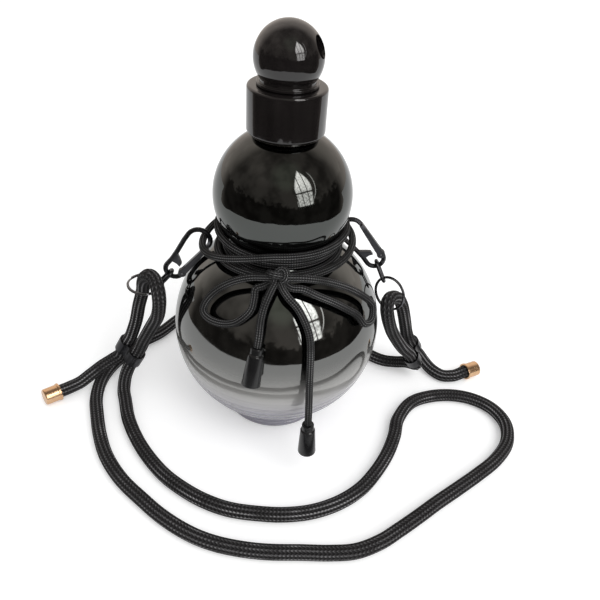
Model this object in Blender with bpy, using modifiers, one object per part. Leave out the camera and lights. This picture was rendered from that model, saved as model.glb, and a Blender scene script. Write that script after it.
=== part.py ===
"""Double gourd bottle of dark glass with a ball stopper, a waist cord and a carrying strap.

Units are metres, +Z is up, and the origin is the centre of the base on the floor.
The front of the bottle, with the knot and the bow, faces -Y.
"""

import math

import bmesh
import bpy
import numpy as np
from mathutils import Matrix, Vector

# The glass bottle.
LOWER_RADIUS = 0.0597
UPPER_RADIUS = 0.0365
LOWER_LIFT = 0.0025
WAIST_RADIUS = 0.0234
WAIST_FILLET = 0.006
FOOT_RADIUS = 0.0306
FOOT_EDGE = 0.004
GLASS_WALL = 0.0024
BASE_THICKNESS = 0.0105
INNER_FLOOR_RADIUS = 0.018
INNER_FLOOR_BLEND = 0.030
NECK_RADIUS = 0.0155
NECK_WALL = 0.004
NECK_HEIGHT = 0.0218
LIP_EDGE = 0.0012

# The collar that is fitted over the glass neck.
COLLAR_RADIUS = 0.0195
COLLAR_TOP_THICKNESS = 0.0019
COLLAR_SKIRT = 0.0017
COLLAR_BEVEL_RISE = 0.0021
COLLAR_EDGE = 0.0015
COLLAR_HOLE_RADIUS = 0.012

# The ball stopper with its plug and seals.
BALL_RADIUS = 0.01664
BALL_NECK_RADIUS = 0.0137
BALL_NECK_HEIGHT = 0.0015
FLANGE_RADIUS = 0.0150
FLANGE_THICKNESS = 0.0015
FLANGE_EDGE = 0.0005
PLUG_RADIUS = 0.0106
PLUG_LENGTH = 0.0185
PLUG_EDGE = 0.001
SEAL_SECTION = 0.0022
SEAL_GROOVE_DEPTH = 0.0017
SEAL_GROOVE_HEIGHT = 0.0028
UPPER_SEAL_DEPTH = 0.0085
SEAL_SPACING = 0.0055
BALL_HOLE_DIAMETER = 0.010
BALL_HOLE_RISE = 0.0062
BALL_HOLE_TURN = math.radians(-16)

# The cords.
CORD_DIAMETER = 0.0040
STRAP_DIAMETER = 0.0080

# The knot at the front of the waist.
KNOT_WIDTH = 0.013
KNOT_DEPTH = 0.009
KNOT_HEIGHT = 0.011
KNOT_SIDE = -0.0005
KNOT_OUT = 0.0385
KNOT_RISE = 0.0009

# The bell-shaped ends of the bow's tails.
BELL_LENGTH = 0.021
BELL_TOP_RADIUS = 0.0033
BELL_WAIST_RADIUS = 0.0040
BELL_MOUTH_RADIUS = 0.0050
BELL_COLLAR = 0.0035
BELL_HOLLOW = 0.006
BELL_WALL = 0.0012
BELL_EDGE = 0.0005

# The two snap clips.
CLIP_WIRE = 0.0028
CLIP_EYE_RADIUS = 0.0052
CLIP_REACH = 0.0245
CLIP_ARC_RADIUS = 0.0064
CLIP_SKEW = 0.0005
CLIP_LUG_WIDTH = 0.0022
HUB_RADIUS = 0.0024
HUB_THICKNESS = 0.0013
GATE_THICKNESS = 0.0034
GATE_WIDTH = 0.0022
GATE_EDGE = 0.0005
PIN_RADIUS = 0.0006
GATE_PIVOT_OUT = 0.0046
GATE_PIVOT_UP = 0.0008
GATE_TIP_GAP = 0.0005

# The links and split rings between the clips and the strap.
LINK_WIRE = 0.0020
LINK_LENGTH = 0.0150
LINK_WIDTH = 0.0080
RING_WIRE = 0.0014
RING_DIAMETER = 0.021
LEFT_RING_SLACK = 0.00130

# The double-barrelled sleeves on the strap, and its metal end caps.
SLEEVE_LENGTH = 0.0090
SLEEVE_WALL = 0.0008
SLEEVE_PITCH = 0.0104
SLEEVE_GROOVE_RADIUS = 0.0030
SLEEVE_GROOVE_DEPTH = 0.0020
CAP_LENGTH = 0.0100
CAP_WALL = 0.0006
CAP_RING_HEIGHT = 0.0014
CAP_RING_RAISE = 0.0005
CAP_EDGE = 0.0008
CAP_SOCKET = 0.0060

# Running and seating gaps, and the overrun of every cut.
CLEARANCE = 0.0003
# What sits on the braided strap has a little more room, because the strap bends.
SLIDE_CLEARANCE = 0.00045
OVERRUN = 0.002

# Points nearer to each other than this are one point, on a seam and on a turning axis.
SEAM_WELD = 0.000001
AXIS_WELD = 0.00005

BOTTLE_SEGMENTS = 44
SMALL_SEGMENTS = 24
ARC_STEP = math.radians(11)
SMOOTH_ANGLE = math.radians(35)

# Heights and radii that follow from the sizes above.
LOWER_CENTRE = LOWER_RADIUS + LOWER_LIFT
WAIST_HEIGHT = LOWER_CENTRE + math.sqrt(LOWER_RADIUS**2 - WAIST_RADIUS**2)
UPPER_CENTRE = WAIST_HEIGHT + math.sqrt(UPPER_RADIUS**2 - WAIST_RADIUS**2)
NECK_FOOT = UPPER_CENTRE + math.sqrt(UPPER_RADIUS**2 - NECK_RADIUS**2)
LIP_HEIGHT = NECK_FOOT + NECK_HEIGHT
BORE_RADIUS = NECK_RADIUS - NECK_WALL
COLLAR_TOP = LIP_HEIGHT + CLEARANCE + COLLAR_TOP_THICKNESS
FLANGE_FOOT = COLLAR_TOP + CLEARANCE
FLANGE_TOP = FLANGE_FOOT + FLANGE_THICKNESS
BALL_CENTRE = FLANGE_TOP + BALL_NECK_HEIGHT + math.sqrt(BALL_RADIUS**2 - BALL_NECK_RADIUS**2)
SEAL_RADIUS = BORE_RADIUS - CLEARANCE
CORD_REST = CORD_DIAMETER / 2 + CLEARANCE
KNOT_CENTRE = Vector((KNOT_SIDE, -KNOT_OUT, WAIST_HEIGHT + KNOT_RISE))


def clear_scene():
    for obj in list(bpy.data.objects):
        bpy.data.objects.remove(obj)


def new_collection(name, hidden=False):
    made = bpy.data.collections.new(name)
    made.hide_render = hidden
    bpy.context.scene.collection.children.link(made)
    return made


clear_scene()
PARTS = new_collection("double_gourd_bottle")
CUTTERS = new_collection("cutters", hidden=True)


def material(name, colour, roughness, metallic=0.0):
    made = bpy.data.materials.new(name)
    made.use_nodes = True
    shader = made.node_tree.nodes["Principled BSDF"]
    shader.inputs["Base Color"].default_value = (*colour, 1.0)
    shader.inputs["Roughness"].default_value = roughness
    shader.inputs["Metallic"].default_value = metallic
    return made


BLACK_GLASS = material("black_glass", (0.012, 0.010, 0.009), 0.06)
STOPPER_GLASS = material("stopper_glass", (0.010, 0.009, 0.008), 0.07)
COLLAR_PLASTIC = material("collar_plastic", (0.014, 0.012, 0.010), 0.10)
SEAL_RUBBER = material("seal_rubber", (0.05, 0.05, 0.05), 0.60)
WAIST_CORD = material("waist_cord", (0.012, 0.012, 0.012), 0.75)
STRAP_CORD = material("strap_cord", (0.014, 0.013, 0.013), 0.80)
BELL_PLASTIC = material("bell_plastic", (0.010, 0.010, 0.010), 0.35)
CLIP_METAL = material("clip_metal", (0.020, 0.020, 0.020), 0.38, 0.8)
PIN_METAL = material("pin_metal", (0.10, 0.10, 0.10), 0.35, 1.0)
RING_METAL = material("ring_metal", (0.10, 0.10, 0.10), 0.28, 1.0)
SLEEVE_METAL = material("sleeve_metal", (0.015, 0.015, 0.015), 0.40, 0.6)
CAP_METAL = material("cap_metal", (0.60, 0.36, 0.24), 0.22, 1.0)


def link_mesh(name, mesh, look, collection=PARTS):
    obj = bpy.data.objects.new(name, mesh)
    collection.objects.link(obj)
    if look:
        mesh.materials.clear()
        mesh.materials.append(look)
    if collection is CUTTERS:
        obj.hide_render = True
        obj.display_type = "WIRE"
    return obj


def smooth(mesh):
    mesh.shade_smooth()
    mesh.set_sharp_from_angle(angle=SMOOTH_ANGLE)


def evaluated_mesh(obj):
    graph = bpy.context.evaluated_depsgraph_get()
    return bpy.data.meshes.new_from_object(obj.evaluated_get(graph), depsgraph=graph)


def as_mesh(obj, look=None, collection=PARTS):
    """The object's evaluated shape as a plain mesh object under the same name and placing."""
    bpy.context.view_layer.update()
    name = obj.name
    mesh = evaluated_mesh(obj)
    world = obj.matrix_world.copy()
    body = bmesh.new()
    body.from_mesh(mesh)
    bmesh.ops.remove_doubles(body, verts=body.verts, dist=SEAM_WELD)
    bmesh.ops.recalc_face_normals(body, faces=body.faces)
    body.to_mesh(mesh)
    body.free()
    bpy.data.objects.remove(obj)
    made = link_mesh(name, mesh, look, collection)
    made.matrix_world = world
    return made


def arc(centre, radius, start, end, step=ARC_STEP):
    """Points of an arc in the profile plane from one angle to another, ends included."""
    count = max(2, math.ceil(abs(end - start) / step) + 1)
    angles = np.linspace(start, end, count)
    return [(centre[0] + radius * math.cos(a), centre[1] + radius * math.sin(a)) for a in angles]


def turned(name, profile, look, segments=SMALL_SEGMENTS, collection=PARTS):
    """A closed or axis-to-axis profile of (radius, height), from top to bottom on its outer side, spun."""
    mesh = bpy.data.meshes.new(name)
    body = bmesh.new()
    points = [body.verts.new((r, 0.0, z)) for r, z in profile]
    for first, second in zip(points, points[1:]):
        body.edges.new((first, second))
    if profile[0][0] > 0:
        body.edges.new((points[-1], points[0]))
    body.to_mesh(mesh)
    body.free()
    obj = link_mesh(name, mesh, look, collection)
    screw = obj.modifiers.new("turn", "SCREW")
    screw.steps = segments
    screw.render_steps = segments
    screw.use_merge_vertices = True
    screw.merge_threshold = AXIS_WELD
    screw.use_smooth_shade = True
    made = as_mesh(obj, look, collection)
    smooth(made.data)
    return made


def smooth_route(points, count, closed=False):
    """Evenly spaced points on a Catmull-Rom curve through the route's own points."""
    given = [Vector(p) for p in points]
    if closed:
        ends = [given[-1]] + given + given[:2]
    else:
        ends = [given[0] * 2 - given[1]] + given + [given[-1] * 2 - given[-2]]
    fine = []
    for a, b, c, d in zip(ends, ends[1:], ends[2:], ends[3:]):
        for t in np.linspace(0.0, 1.0, 24, endpoint=False):
            fine.append(
                0.5
                * (
                    2 * b
                    + (c - a) * t
                    + (2 * a - 5 * b + 4 * c - d) * t**2
                    + (3 * b - a - 3 * c + d) * t**3
                )
            )
    fine.append(given[0] if closed else given[-1])
    return even_points(fine, count, closed)


def even_points(fine, count, closed=False):
    steps = [(b - a).length for a, b in zip(fine, fine[1:])]
    along = np.concatenate([[0.0], np.cumsum(steps)])
    wanted = np.linspace(0.0, along[-1], count + 1 if closed else count)
    if closed:
        wanted = wanted[:-1]
    rows = np.array(fine)
    return [Vector([float(np.interp(w, along, rows[:, k])) for k in range(3)]) for w in wanted]


def length_of(points):
    return sum((b - a).length for a, b in zip(points, points[1:]))


def tube(name, points, diameter, look, resolution=2, closed=False, collection=PARTS):
    """A round tube on a POLY spline through the points."""
    data = bpy.data.curves.new(name, "CURVE")
    data.dimensions = "3D"
    data.bevel_depth = diameter / 2
    data.bevel_resolution = resolution
    data.use_fill_caps = True
    data.twist_mode = "MINIMUM"
    spline = data.splines.new("POLY")
    spline.points.add(len(points) - 1)
    for target, point in zip(spline.points, points):
        target.co = (*point, 1.0)
    spline.use_cyclic_u = closed
    spline.use_smooth = True
    obj = bpy.data.objects.new(name, data)
    collection.objects.link(obj)
    if look:
        data.materials.append(look)
    if collection is CUTTERS:
        obj.hide_render = True
        obj.display_type = "WIRE"
    return obj


def plate(name, loops, thickness, look, collection=PARTS):
    """A flat outline, with any holes as further loops, of this thickness about its own plane."""
    data = bpy.data.curves.new(name, "CURVE")
    data.dimensions = "2D"
    data.fill_mode = "BOTH"
    data.extrude = thickness / 2
    for loop in loops:
        spline = data.splines.new("POLY")
        spline.points.add(len(loop) - 1)
        for target, point in zip(spline.points, loop):
            target.co = (point[0], point[1], 0.0, 1.0)
        spline.use_cyclic_u = True
    obj = bpy.data.objects.new(name, data)
    collection.objects.link(obj)
    return as_mesh(obj, look, collection)


def boolean(target, cutter, operation="DIFFERENCE"):
    step = target.modifiers.new(operation.lower(), "BOOLEAN")
    step.operation = operation
    step.solver = "EXACT"
    step.object = cutter
    return step


def cylinder(name, radius, length, segments=SMALL_SEGMENTS, collection=CUTTERS, look=None):
    mesh = bpy.data.meshes.new(name)
    body = bmesh.new()
    bmesh.ops.create_cone(
        body, cap_ends=True, segments=segments, radius1=radius, radius2=radius, depth=length
    )
    body.to_mesh(mesh)
    body.free()
    smooth(mesh)
    return link_mesh(name, mesh, look, collection)


def waist_fillet(rolling, lower, upper):
    """Centre in the profile plane of a circle of this radius that touches both bulbs at the waist."""
    low, high = lower + rolling, upper + rolling
    between = UPPER_CENTRE - LOWER_CENTRE
    along = (between**2 + low**2 - high**2) / (2 * between)
    return math.sqrt(low**2 - along**2), LOWER_CENTRE + along


FILLET_CENTRE = waist_fillet(WAIST_FILLET, LOWER_RADIUS, UPPER_RADIUS)


def bulb_profile(wall, top_radius, foot_radius):
    """The two bulbs and the waist between them, each drawn in by the wall, from top to bottom."""
    upper, lower = UPPER_RADIUS - wall, LOWER_RADIUS - wall
    fillet = WAIST_FILLET + wall
    out, high = FILLET_CENTRE
    to_upper = math.atan2(high - UPPER_CENTRE, out)
    to_lower = math.atan2(high - LOWER_CENTRE, out)
    points = arc((0.0, UPPER_CENTRE), upper, math.acos(top_radius / upper), to_upper)
    start = math.atan2(UPPER_CENTRE - high, -out) % (2 * math.pi)
    end = math.atan2(LOWER_CENTRE - high, -out) % (2 * math.pi)
    points += arc((out, high), fillet, start, end, ARC_STEP * 2)[1:-1]
    points += arc((0.0, LOWER_CENTRE), lower, to_lower, -math.acos(foot_radius / lower))
    return points


def make_bottle():
    outer = [(NECK_RADIUS - LIP_EDGE, LIP_HEIGHT), (NECK_RADIUS, LIP_HEIGHT - LIP_EDGE)]
    outer += bulb_profile(0.0, NECK_RADIUS, FOOT_RADIUS)
    outer += arc(
        (FOOT_RADIUS - FOOT_EDGE, FOOT_EDGE), FOOT_EDGE, 0.0, -math.pi / 2, ARC_STEP * 2.5
    )
    inner = [(0.0, BASE_THICKNESS), (INNER_FLOOR_RADIUS, BASE_THICKNESS)]
    inner += list(reversed(bulb_profile(GLASS_WALL, BORE_RADIUS, INNER_FLOOR_BLEND)))
    inner += [(BORE_RADIUS, LIP_HEIGHT - LIP_EDGE), (BORE_RADIUS + LIP_EDGE, LIP_HEIGHT)]
    outer += [(0.0, 0.0)]
    # The outline runs from the lip down the outside to the axis, then back up the inside.
    mesh = bpy.data.meshes.new("bottle_body")
    body = bmesh.new()
    points = [body.verts.new((r, 0.0, z)) for r, z in outer + inner]
    for k in range(len(points) - 1):
        if k != len(outer) - 1:
            body.edges.new((points[k], points[k + 1]))
    body.edges.new((points[-1], points[0]))
    body.to_mesh(mesh)
    body.free()
    obj = link_mesh("bottle_body", mesh, BLACK_GLASS)
    screw = obj.modifiers.new("turn", "SCREW")
    screw.steps = BOTTLE_SEGMENTS
    screw.render_steps = BOTTLE_SEGMENTS
    screw.use_merge_vertices = True
    screw.merge_threshold = AXIS_WELD
    screw.use_smooth_shade = True
    smooth(as_mesh(obj, BLACK_GLASS).data)


def make_collar():
    bore = NECK_RADIUS + CLEARANCE
    foot = UPPER_CENTRE + math.sqrt(UPPER_RADIUS**2 - bore**2) + CLEARANCE
    under = LIP_HEIGHT + CLEARANCE
    profile = [(COLLAR_HOLE_RADIUS, COLLAR_TOP)]
    profile += arc(
        (COLLAR_RADIUS - COLLAR_EDGE, COLLAR_TOP - COLLAR_EDGE), COLLAR_EDGE, math.pi / 2, 0.0,
        ARC_STEP * 2.5,
    )
    profile += [
        (COLLAR_RADIUS, foot + COLLAR_BEVEL_RISE),
        (bore + COLLAR_SKIRT, foot),
        (bore, foot),
        (bore, under),
        (COLLAR_HOLE_RADIUS, under),
    ]
    turned("neck_collar", profile, COLLAR_PLASTIC, BOTTLE_SEGMENTS)


def make_stopper():
    reach = math.asin(BALL_NECK_RADIUS / BALL_RADIUS)
    floor = FLANGE_FOOT - PLUG_LENGTH
    groove = PLUG_RADIUS - SEAL_GROOVE_DEPTH
    profile = arc((0.0, BALL_CENTRE), BALL_RADIUS, math.pi / 2, -math.pi / 2 + reach, ARC_STEP * 1.1)
    profile += [
        (BALL_NECK_RADIUS, FLANGE_TOP),
        (FLANGE_RADIUS - FLANGE_EDGE, FLANGE_TOP),
        (FLANGE_RADIUS, FLANGE_TOP - FLANGE_EDGE),
        (FLANGE_RADIUS, FLANGE_FOOT + FLANGE_EDGE),
        (FLANGE_RADIUS - FLANGE_EDGE, FLANGE_FOOT),
        (PLUG_RADIUS, FLANGE_FOOT),
    ]
    for k in range(2):
        middle = FLANGE_FOOT - UPPER_SEAL_DEPTH - k * SEAL_SPACING
        profile += [
            (PLUG_RADIUS, middle + SEAL_GROOVE_HEIGHT / 2),
            (groove, middle + SEAL_GROOVE_HEIGHT / 2),
            (groove, middle - SEAL_GROOVE_HEIGHT / 2),
            (PLUG_RADIUS, middle - SEAL_GROOVE_HEIGHT / 2),
        ]
    profile += [(PLUG_RADIUS, floor + PLUG_EDGE), (PLUG_RADIUS - PLUG_EDGE, floor), (0.0, floor)]
    stopper = turned("stopper_ball", profile, STOPPER_GLASS, 40)
    drill = cylinder("ball_hole_cutter", BALL_HOLE_DIAMETER / 2, 2 * BALL_RADIUS + 2 * OVERRUN)
    drill.rotation_euler = (0.0, math.pi / 2, BALL_HOLE_TURN)
    drill.location = (0.0, 0.0, BALL_CENTRE + BALL_HOLE_RISE)
    boolean(stopper, drill)
    for k, name in enumerate(("stopper_seal_upper", "stopper_seal_lower")):
        middle = FLANGE_FOOT - UPPER_SEAL_DEPTH - k * SEAL_SPACING
        half = SEAL_SECTION / 2
        inside = groove + CLEARANCE
        bulge = SEAL_RADIUS - half
        ring = [(inside, middle + half), (bulge, middle + half)]
        ring += arc((bulge, middle), half, math.pi / 3, -math.pi / 3, math.pi / 3)
        ring += [(bulge, middle - half), (inside, middle - half)]
        turned(name, ring, SEAL_RUBBER, SMALL_SEGMENTS + 8)


# The winding's stations: turns from the front by way of the left, then the radius beyond the
# cord's resting place on the glass and the height above the waist, both in cord diameters.
# Four turns lie in the groove. The fifth is drawn out through the clip on each side.
WINDING_SHARES = (
    (0.00, 2.00, 0.10), (0.25, 0.06, -0.73), (0.50, 0.06, -0.42), (1.00, 0.06, -0.42),
    (1.25, 0.06, 0.145), (1.50, 0.06, 0.70), (2.00, 0.06, 0.70), (2.25, 0.06, 1.245),
    (2.50, 0.06, 1.70), (3.00, 0.06, 1.70), (3.25, 0.06, 2.30), (3.50, 0.06, 2.74),
    (4.00, 0.10, 2.78), (4.25, 2.24, -0.71), (4.50, 1.80, 0.90), (4.70, 2.36, 0.72),
    (5.00, 2.00, 0.15),
)
LOOP_POINTS = 24


def rest_radius(height):
    """Least radius of the cord's centre at this height, lying on either bulb or in the waist."""
    found = 0.0
    for centre, radius in ((LOWER_CENTRE, LOWER_RADIUS), (UPPER_CENTRE, UPPER_RADIUS)):
        reach = (radius + CORD_REST) ** 2 - (height - centre) ** 2
        if reach > 0.0:
            found = max(found, math.sqrt(reach))
    hollow = WAIST_FILLET - CORD_REST
    out, high = FILLET_CENTRE
    drop = hollow**2 - (height - high) ** 2
    if drop > 0.0:
        found = max(found, out - math.sqrt(drop))
    return found


def station(shares):
    out, up = shares
    height = WAIST_HEIGHT + up * CORD_DIAMETER
    return np.array([rest_radius(height) + out * CORD_DIAMETER, height])


def between_stations(turns, rows, at):
    """Radius and height between stations, on a curve that never swings past either of them."""
    k = min(int(np.searchsorted(turns, at, side="right")) - 1, len(turns) - 2)
    width = turns[k + 1] - turns[k]
    f = (at - turns[k]) / width

    def slope(i):
        if i in (0, len(turns) - 1):
            return np.zeros(2)
        back, ahead = turns[i] - turns[i - 1], turns[i + 1] - turns[i]
        before, after = (rows[i] - rows[i - 1]) / back, (rows[i + 1] - rows[i]) / ahead
        mean = (before * ahead + after * back) / (back + ahead)
        return np.where(before * after > 0, mean, 0.0)

    return (
        (2 * f**3 - 3 * f**2 + 1) * rows[k]
        + (f**3 - 2 * f**2 + f) * slope(k) * width
        + (3 * f**2 - 2 * f**3) * rows[k + 1]
        + (f**3 - f**2) * slope(k + 1) * width
    )


def winding_points():
    turns = [row[0] for row in WINDING_SHARES]
    rows = [station(row[1:]) for row in WINDING_SHARES]
    half = KNOT_WIDTH / 2 + 2 * CLEARANCE
    start = turns[0] + (half - KNOT_SIDE) / rows[0][0] / math.tau
    end = turns[-1] - (half + KNOT_SIDE) / rows[-1][0] / math.tau
    points = []
    for at in np.linspace(start, end, round(turns[-1] * LOOP_POINTS)):
        radius, height = between_stations(turns, rows, at)
        radius = max(radius, rest_radius(height))
        angle = at * math.tau
        points.append(Vector((-radius * math.sin(angle), -radius * math.cos(angle), height)))
    return points


def least_self_gap(points, diameter):
    """Least distance between the tube's surface and itself, over half a turn apart."""
    rows = np.array(points)
    least = math.inf
    for k in range(len(rows)):
        others = rows[k + 12 :]
        if len(others) > 1:
            start, step = others[:-1], np.diff(others, axis=0)
            share = np.einsum("ij,ij->i", rows[k] - start, step) / (step**2).sum(axis=1)
            near = start + np.clip(share, 0, 1)[:, None] * step
            least = min(least, np.sqrt(((near - rows[k]) ** 2).sum(axis=1)).min())
    return least - diameter


def make_winding():
    points = winding_points()
    gap = least_self_gap(points, CORD_DIAMETER)
    print(f"waist cord: length {length_of(points):.4f} m, least self gap {gap * 1000:.2f} mm")
    tube("waist_cord_winding", points, CORD_DIAMETER, WAIST_CORD, 1)


def make_knot():
    mesh = bpy.data.meshes.new("bow_knot")
    body = bmesh.new()
    bmesh.ops.create_uvsphere(body, u_segments=16, v_segments=10, radius=1.0)
    body.to_mesh(mesh)
    body.free()
    knot = link_mesh("bow_knot", mesh, WAIST_CORD)
    # A squared-off pillow: each direction is pushed out towards a rounded box.
    for vertex in mesh.vertices:
        x, y, z = vertex.co
        size = (abs(x) ** 4 + abs(y) ** 4 + abs(z) ** 4) ** 0.25
        vertex.co = (
            x / size * KNOT_WIDTH / 2,
            y / size * KNOT_DEPTH / 2,
            z / size * KNOT_HEIGHT / 2,
        )
    smooth(mesh)
    knot.location = KNOT_CENTRE


# Route points of the bow and its tails: (x, y, z).
LEFT_LOOP = (
    (-0.0075, -0.0405, 0.1195), (-0.0145, -0.0404, 0.1190), (-0.0225, -0.0385, 0.1150),
    (-0.0305, -0.0365, 0.1085), (-0.0365, -0.0365, 0.1010), (-0.0383, -0.0385, 0.0955),
    (-0.0350, -0.0425, 0.0935), (-0.0287, -0.0460, 0.0935), (-0.0221, -0.0480, 0.0955),
    (-0.0171, -0.0478, 0.0990), (-0.0130, -0.0468, 0.1040), (-0.0118, -0.0440, 0.1090),
    (-0.0112, -0.0415, 0.1130), (-0.0075, -0.0405, 0.1142),
)
RIGHT_LOOP = (
    (0.0066, -0.0407, 0.1198), (0.0140, -0.0402, 0.1196), (0.0240, -0.0365, 0.1160),
    (0.0360, -0.0305, 0.1085), (0.0465, -0.0250, 0.0990), (0.0515, -0.0235, 0.0925),
    (0.0510, -0.0290, 0.0870), (0.0465, -0.0345, 0.0885), (0.0420, -0.0350, 0.0945),
    (0.0365, -0.0375, 0.0995), (0.0290, -0.0395, 0.1050), (0.0200, -0.0410, 0.1100),
    (0.0125, -0.0412, 0.1138), (0.0066, -0.0410, 0.1142),
)
LEFT_TAIL = (
    (-0.0035, -0.0448, 0.1150), (-0.0052, -0.0478, 0.1120), (-0.0068, -0.0503, 0.1080),
    (-0.0080, -0.0530, 0.1020), (-0.0086, -0.0569, 0.0950), (-0.0093, -0.0585, 0.0895),
)
RIGHT_TAIL = (
    (0.0025, -0.0448, 0.1150), (0.0055, -0.0475, 0.1122), (0.0100, -0.0490, 0.1075),
    (0.0140, -0.0515, 0.1010), (0.0168, -0.0545, 0.0940), (0.0177, -0.0575, 0.0860),
    (0.0180, -0.0600, 0.0770), (0.0182, -0.0620, 0.0680), (0.0186, -0.0635, 0.0590),
    (0.0190, -0.0640, 0.0490), (0.0192, -0.0640, 0.0415),
)

# Route points of the strap, which lies on the floor in two runs and rises to a ring at each side.
LEFT_TIP = (
    (-0.1385, -0.0152, 0.0058), (-0.1355, -0.0128, 0.0057), (-0.1325, -0.0104, 0.0056),
    (-0.1290, -0.0077, 0.0056), (-0.1232, -0.0038, 0.0066), (-0.1172, 0.0006, 0.0098),
    (-0.1112, 0.0046, 0.0133), (-0.1055, 0.0078, 0.0160),
)
LEFT_ARCH = (
    (-0.0866, 0.0090, 0.0491), (-0.0838, 0.0090, 0.0610), (-0.0800, 0.0067, 0.0741),
    (-0.0781, 0.0027, 0.0830), (-0.0754, -0.0014, 0.0892), (-0.0722, -0.0044, 0.0921),
    (-0.0693, -0.0070, 0.0912), (-0.0671, -0.0115, 0.0886), (-0.0663, -0.0134, 0.0843),
    (-0.0668, -0.0127, 0.0771), (-0.0692, -0.0090, 0.0670), (-0.0738, -0.0050, 0.0565),
    (-0.0800, -0.0010, 0.0430),
)
FLOOR_RUN = (
    (-0.0950, 0.0005, 0.0105), (-0.0957, -0.0035, 0.0058), (-0.0948, -0.0090, 0.0041),
    (-0.0926, -0.0154, 0.0040), (-0.0873, -0.0310, 0.0040), (-0.0792, -0.0464, 0.0040),
    (-0.0697, -0.0599, 0.0040), (-0.0586, -0.0720, 0.0040), (-0.0466, -0.0811, 0.0040),
    (-0.0344, -0.0880, 0.0040), (-0.0207, -0.0928, 0.0040), (-0.0053, -0.0947, 0.0040),
    (0.0095, -0.0948, 0.0040), (0.0245, -0.0921, 0.0040), (0.0384, -0.0860, 0.0040),
    (0.0504, -0.0770, 0.0040), (0.0596, -0.0658, 0.0040), (0.0681, -0.0518, 0.0040),
    (0.0744, -0.0368, 0.0040), (0.0786, -0.0222, 0.0040), (0.0885, -0.0078, 0.0040),
    (0.1022, -0.0010, 0.0040), (0.1173, 0.0009, 0.0040), (0.1310, -0.0023, 0.0040),
    (0.1417, -0.0106, 0.0040), (0.1466, -0.0236, 0.0040), (0.1432, -0.0388, 0.0040),
    (0.1328, -0.0525, 0.0040), (0.1191, -0.0641, 0.0040), (0.1057, -0.0743, 0.0040),
    (0.0929, -0.0838, 0.0040), (0.0811, -0.0931, 0.0040), (0.0697, -0.1017, 0.0040),
    (0.0588, -0.1093, 0.0040), (0.0459, -0.1150, 0.0040), (0.0324, -0.1166, 0.0040),
    (0.0170, -0.1168, 0.0040), (0.0018, -0.1171, 0.0040), (-0.0118, -0.1161, 0.0040),
    (-0.0264, -0.1133, 0.0040), (-0.0401, -0.1081, 0.0040), (-0.0550, -0.0991, 0.0040),
    (-0.0679, -0.0886, 0.0040), (-0.0820, -0.0757, 0.0040), (-0.0935, -0.0606, 0.0040),
    (-0.1012, -0.0448, 0.0040), (-0.1068, -0.0288, 0.0040), (-0.1108, -0.0145, 0.0040),
    (-0.1115, 0.0010, 0.0040), (-0.1080, 0.0153, 0.0040), (-0.1010, 0.0285, 0.0040),
    (-0.0944, 0.0398, 0.0040), (-0.0826, 0.0516, 0.0040), (-0.0735, 0.0660, 0.0040),
    (-0.0650, 0.0770, 0.0040), (-0.0500, 0.0880, 0.0040), (-0.0290, 0.0940, 0.0040),
    (-0.0060, 0.0925, 0.0040), (0.0150, 0.0850, 0.0040), (0.0340, 0.0720, 0.0040),
    (0.0500, 0.0560, 0.0040), (0.0600, 0.0440, 0.0040), (0.0675, 0.0367, 0.0040),
    (0.0755, 0.0325, 0.0040), (0.0838, 0.0316, 0.0041), (0.0900, 0.0292, 0.0064),
)
RIGHT_ARCH = (
    (0.0797, 0.0095, 0.0370), (0.0716, 0.0040, 0.0518), (0.0675, -0.0012, 0.0625),
    (0.0648, -0.0049, 0.0713), (0.0635, -0.0049, 0.0771), (0.0640, -0.0019, 0.0800),
    (0.0666, 0.0028, 0.0796), (0.0709, 0.0070, 0.0765), (0.0744, 0.0097, 0.0712),
    (0.0770, 0.0116, 0.0641), (0.0803, 0.0152, 0.0529), (0.0836, 0.0196, 0.0412),
)
RIGHT_TIP = (
    (0.0990, 0.0322, 0.0110), (0.1028, 0.0308, 0.0065), (0.1064, 0.0270, 0.0042),
    (0.1100, 0.0225, 0.0040), (0.1145, 0.0195, 0.0040), (0.1209, 0.0194, 0.0044),
    (0.1244, 0.0203, 0.0050), (0.1278, 0.0218, 0.0056), (0.1312, 0.0234, 0.0057),
    (0.1346, 0.0250, 0.0058),
)

# Each sleeve holds two parallel lengths of the strap: its middle, its axis downwards, and the
# side on which the strap's tip runs.
LEFT_SLEEVE = ((-0.0918, 0.0059, 0.0265), (-0.457, 0.050, -0.888), (-0.663, 0.647, 0.378))
RIGHT_SLEEVE = ((0.0907, 0.0217, 0.0226), (0.420, 0.390, -0.820), (0.250, 0.960, 0.000))


# The strap runs straight through a sleeve and past both its ends, so that the sleeve can slide.
SLEEVE_RUN_SHARES = (-1.15, -0.85, 0.0, 0.85, 1.15)
# A point of the strap at least this often, in strap diameters.
STRAP_STEP_SHARE = 2.4
STRAP_TURN = math.radians(16)


def sleeve_frame(placing):
    """Middle, axis and the side to the tip's bore, with the side made square to the axis."""
    middle, axis, side = (Vector(v) for v in placing)
    axis = axis.normalized()
    side = (side - axis * side.dot(axis)).normalized()
    return middle, axis, side


def through_sleeve(placing, tip_side, downwards):
    """Route points that run straight through one bore of a sleeve."""
    middle, axis, side = sleeve_frame(placing)
    centre = middle + side * (SLEEVE_PITCH / 2 if tip_side else -SLEEVE_PITCH / 2)
    points = [centre + axis * SLEEVE_LENGTH * share for share in SLEEVE_RUN_SHARES]
    return points if downwards else points[::-1]


def strap_route():
    route = [Vector(p) for p in LEFT_TIP]
    route += through_sleeve(LEFT_SLEEVE, True, False)
    route += [Vector(p) for p in LEFT_ARCH]
    route += through_sleeve(LEFT_SLEEVE, False, True)
    route += [Vector(p) for p in FLOOR_RUN]
    route += through_sleeve(RIGHT_SLEEVE, False, False)
    route += [Vector(p) for p in RIGHT_ARCH]
    route += through_sleeve(RIGHT_SLEEVE, True, True)
    route += [Vector(p) for p in RIGHT_TIP]
    return route


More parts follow.
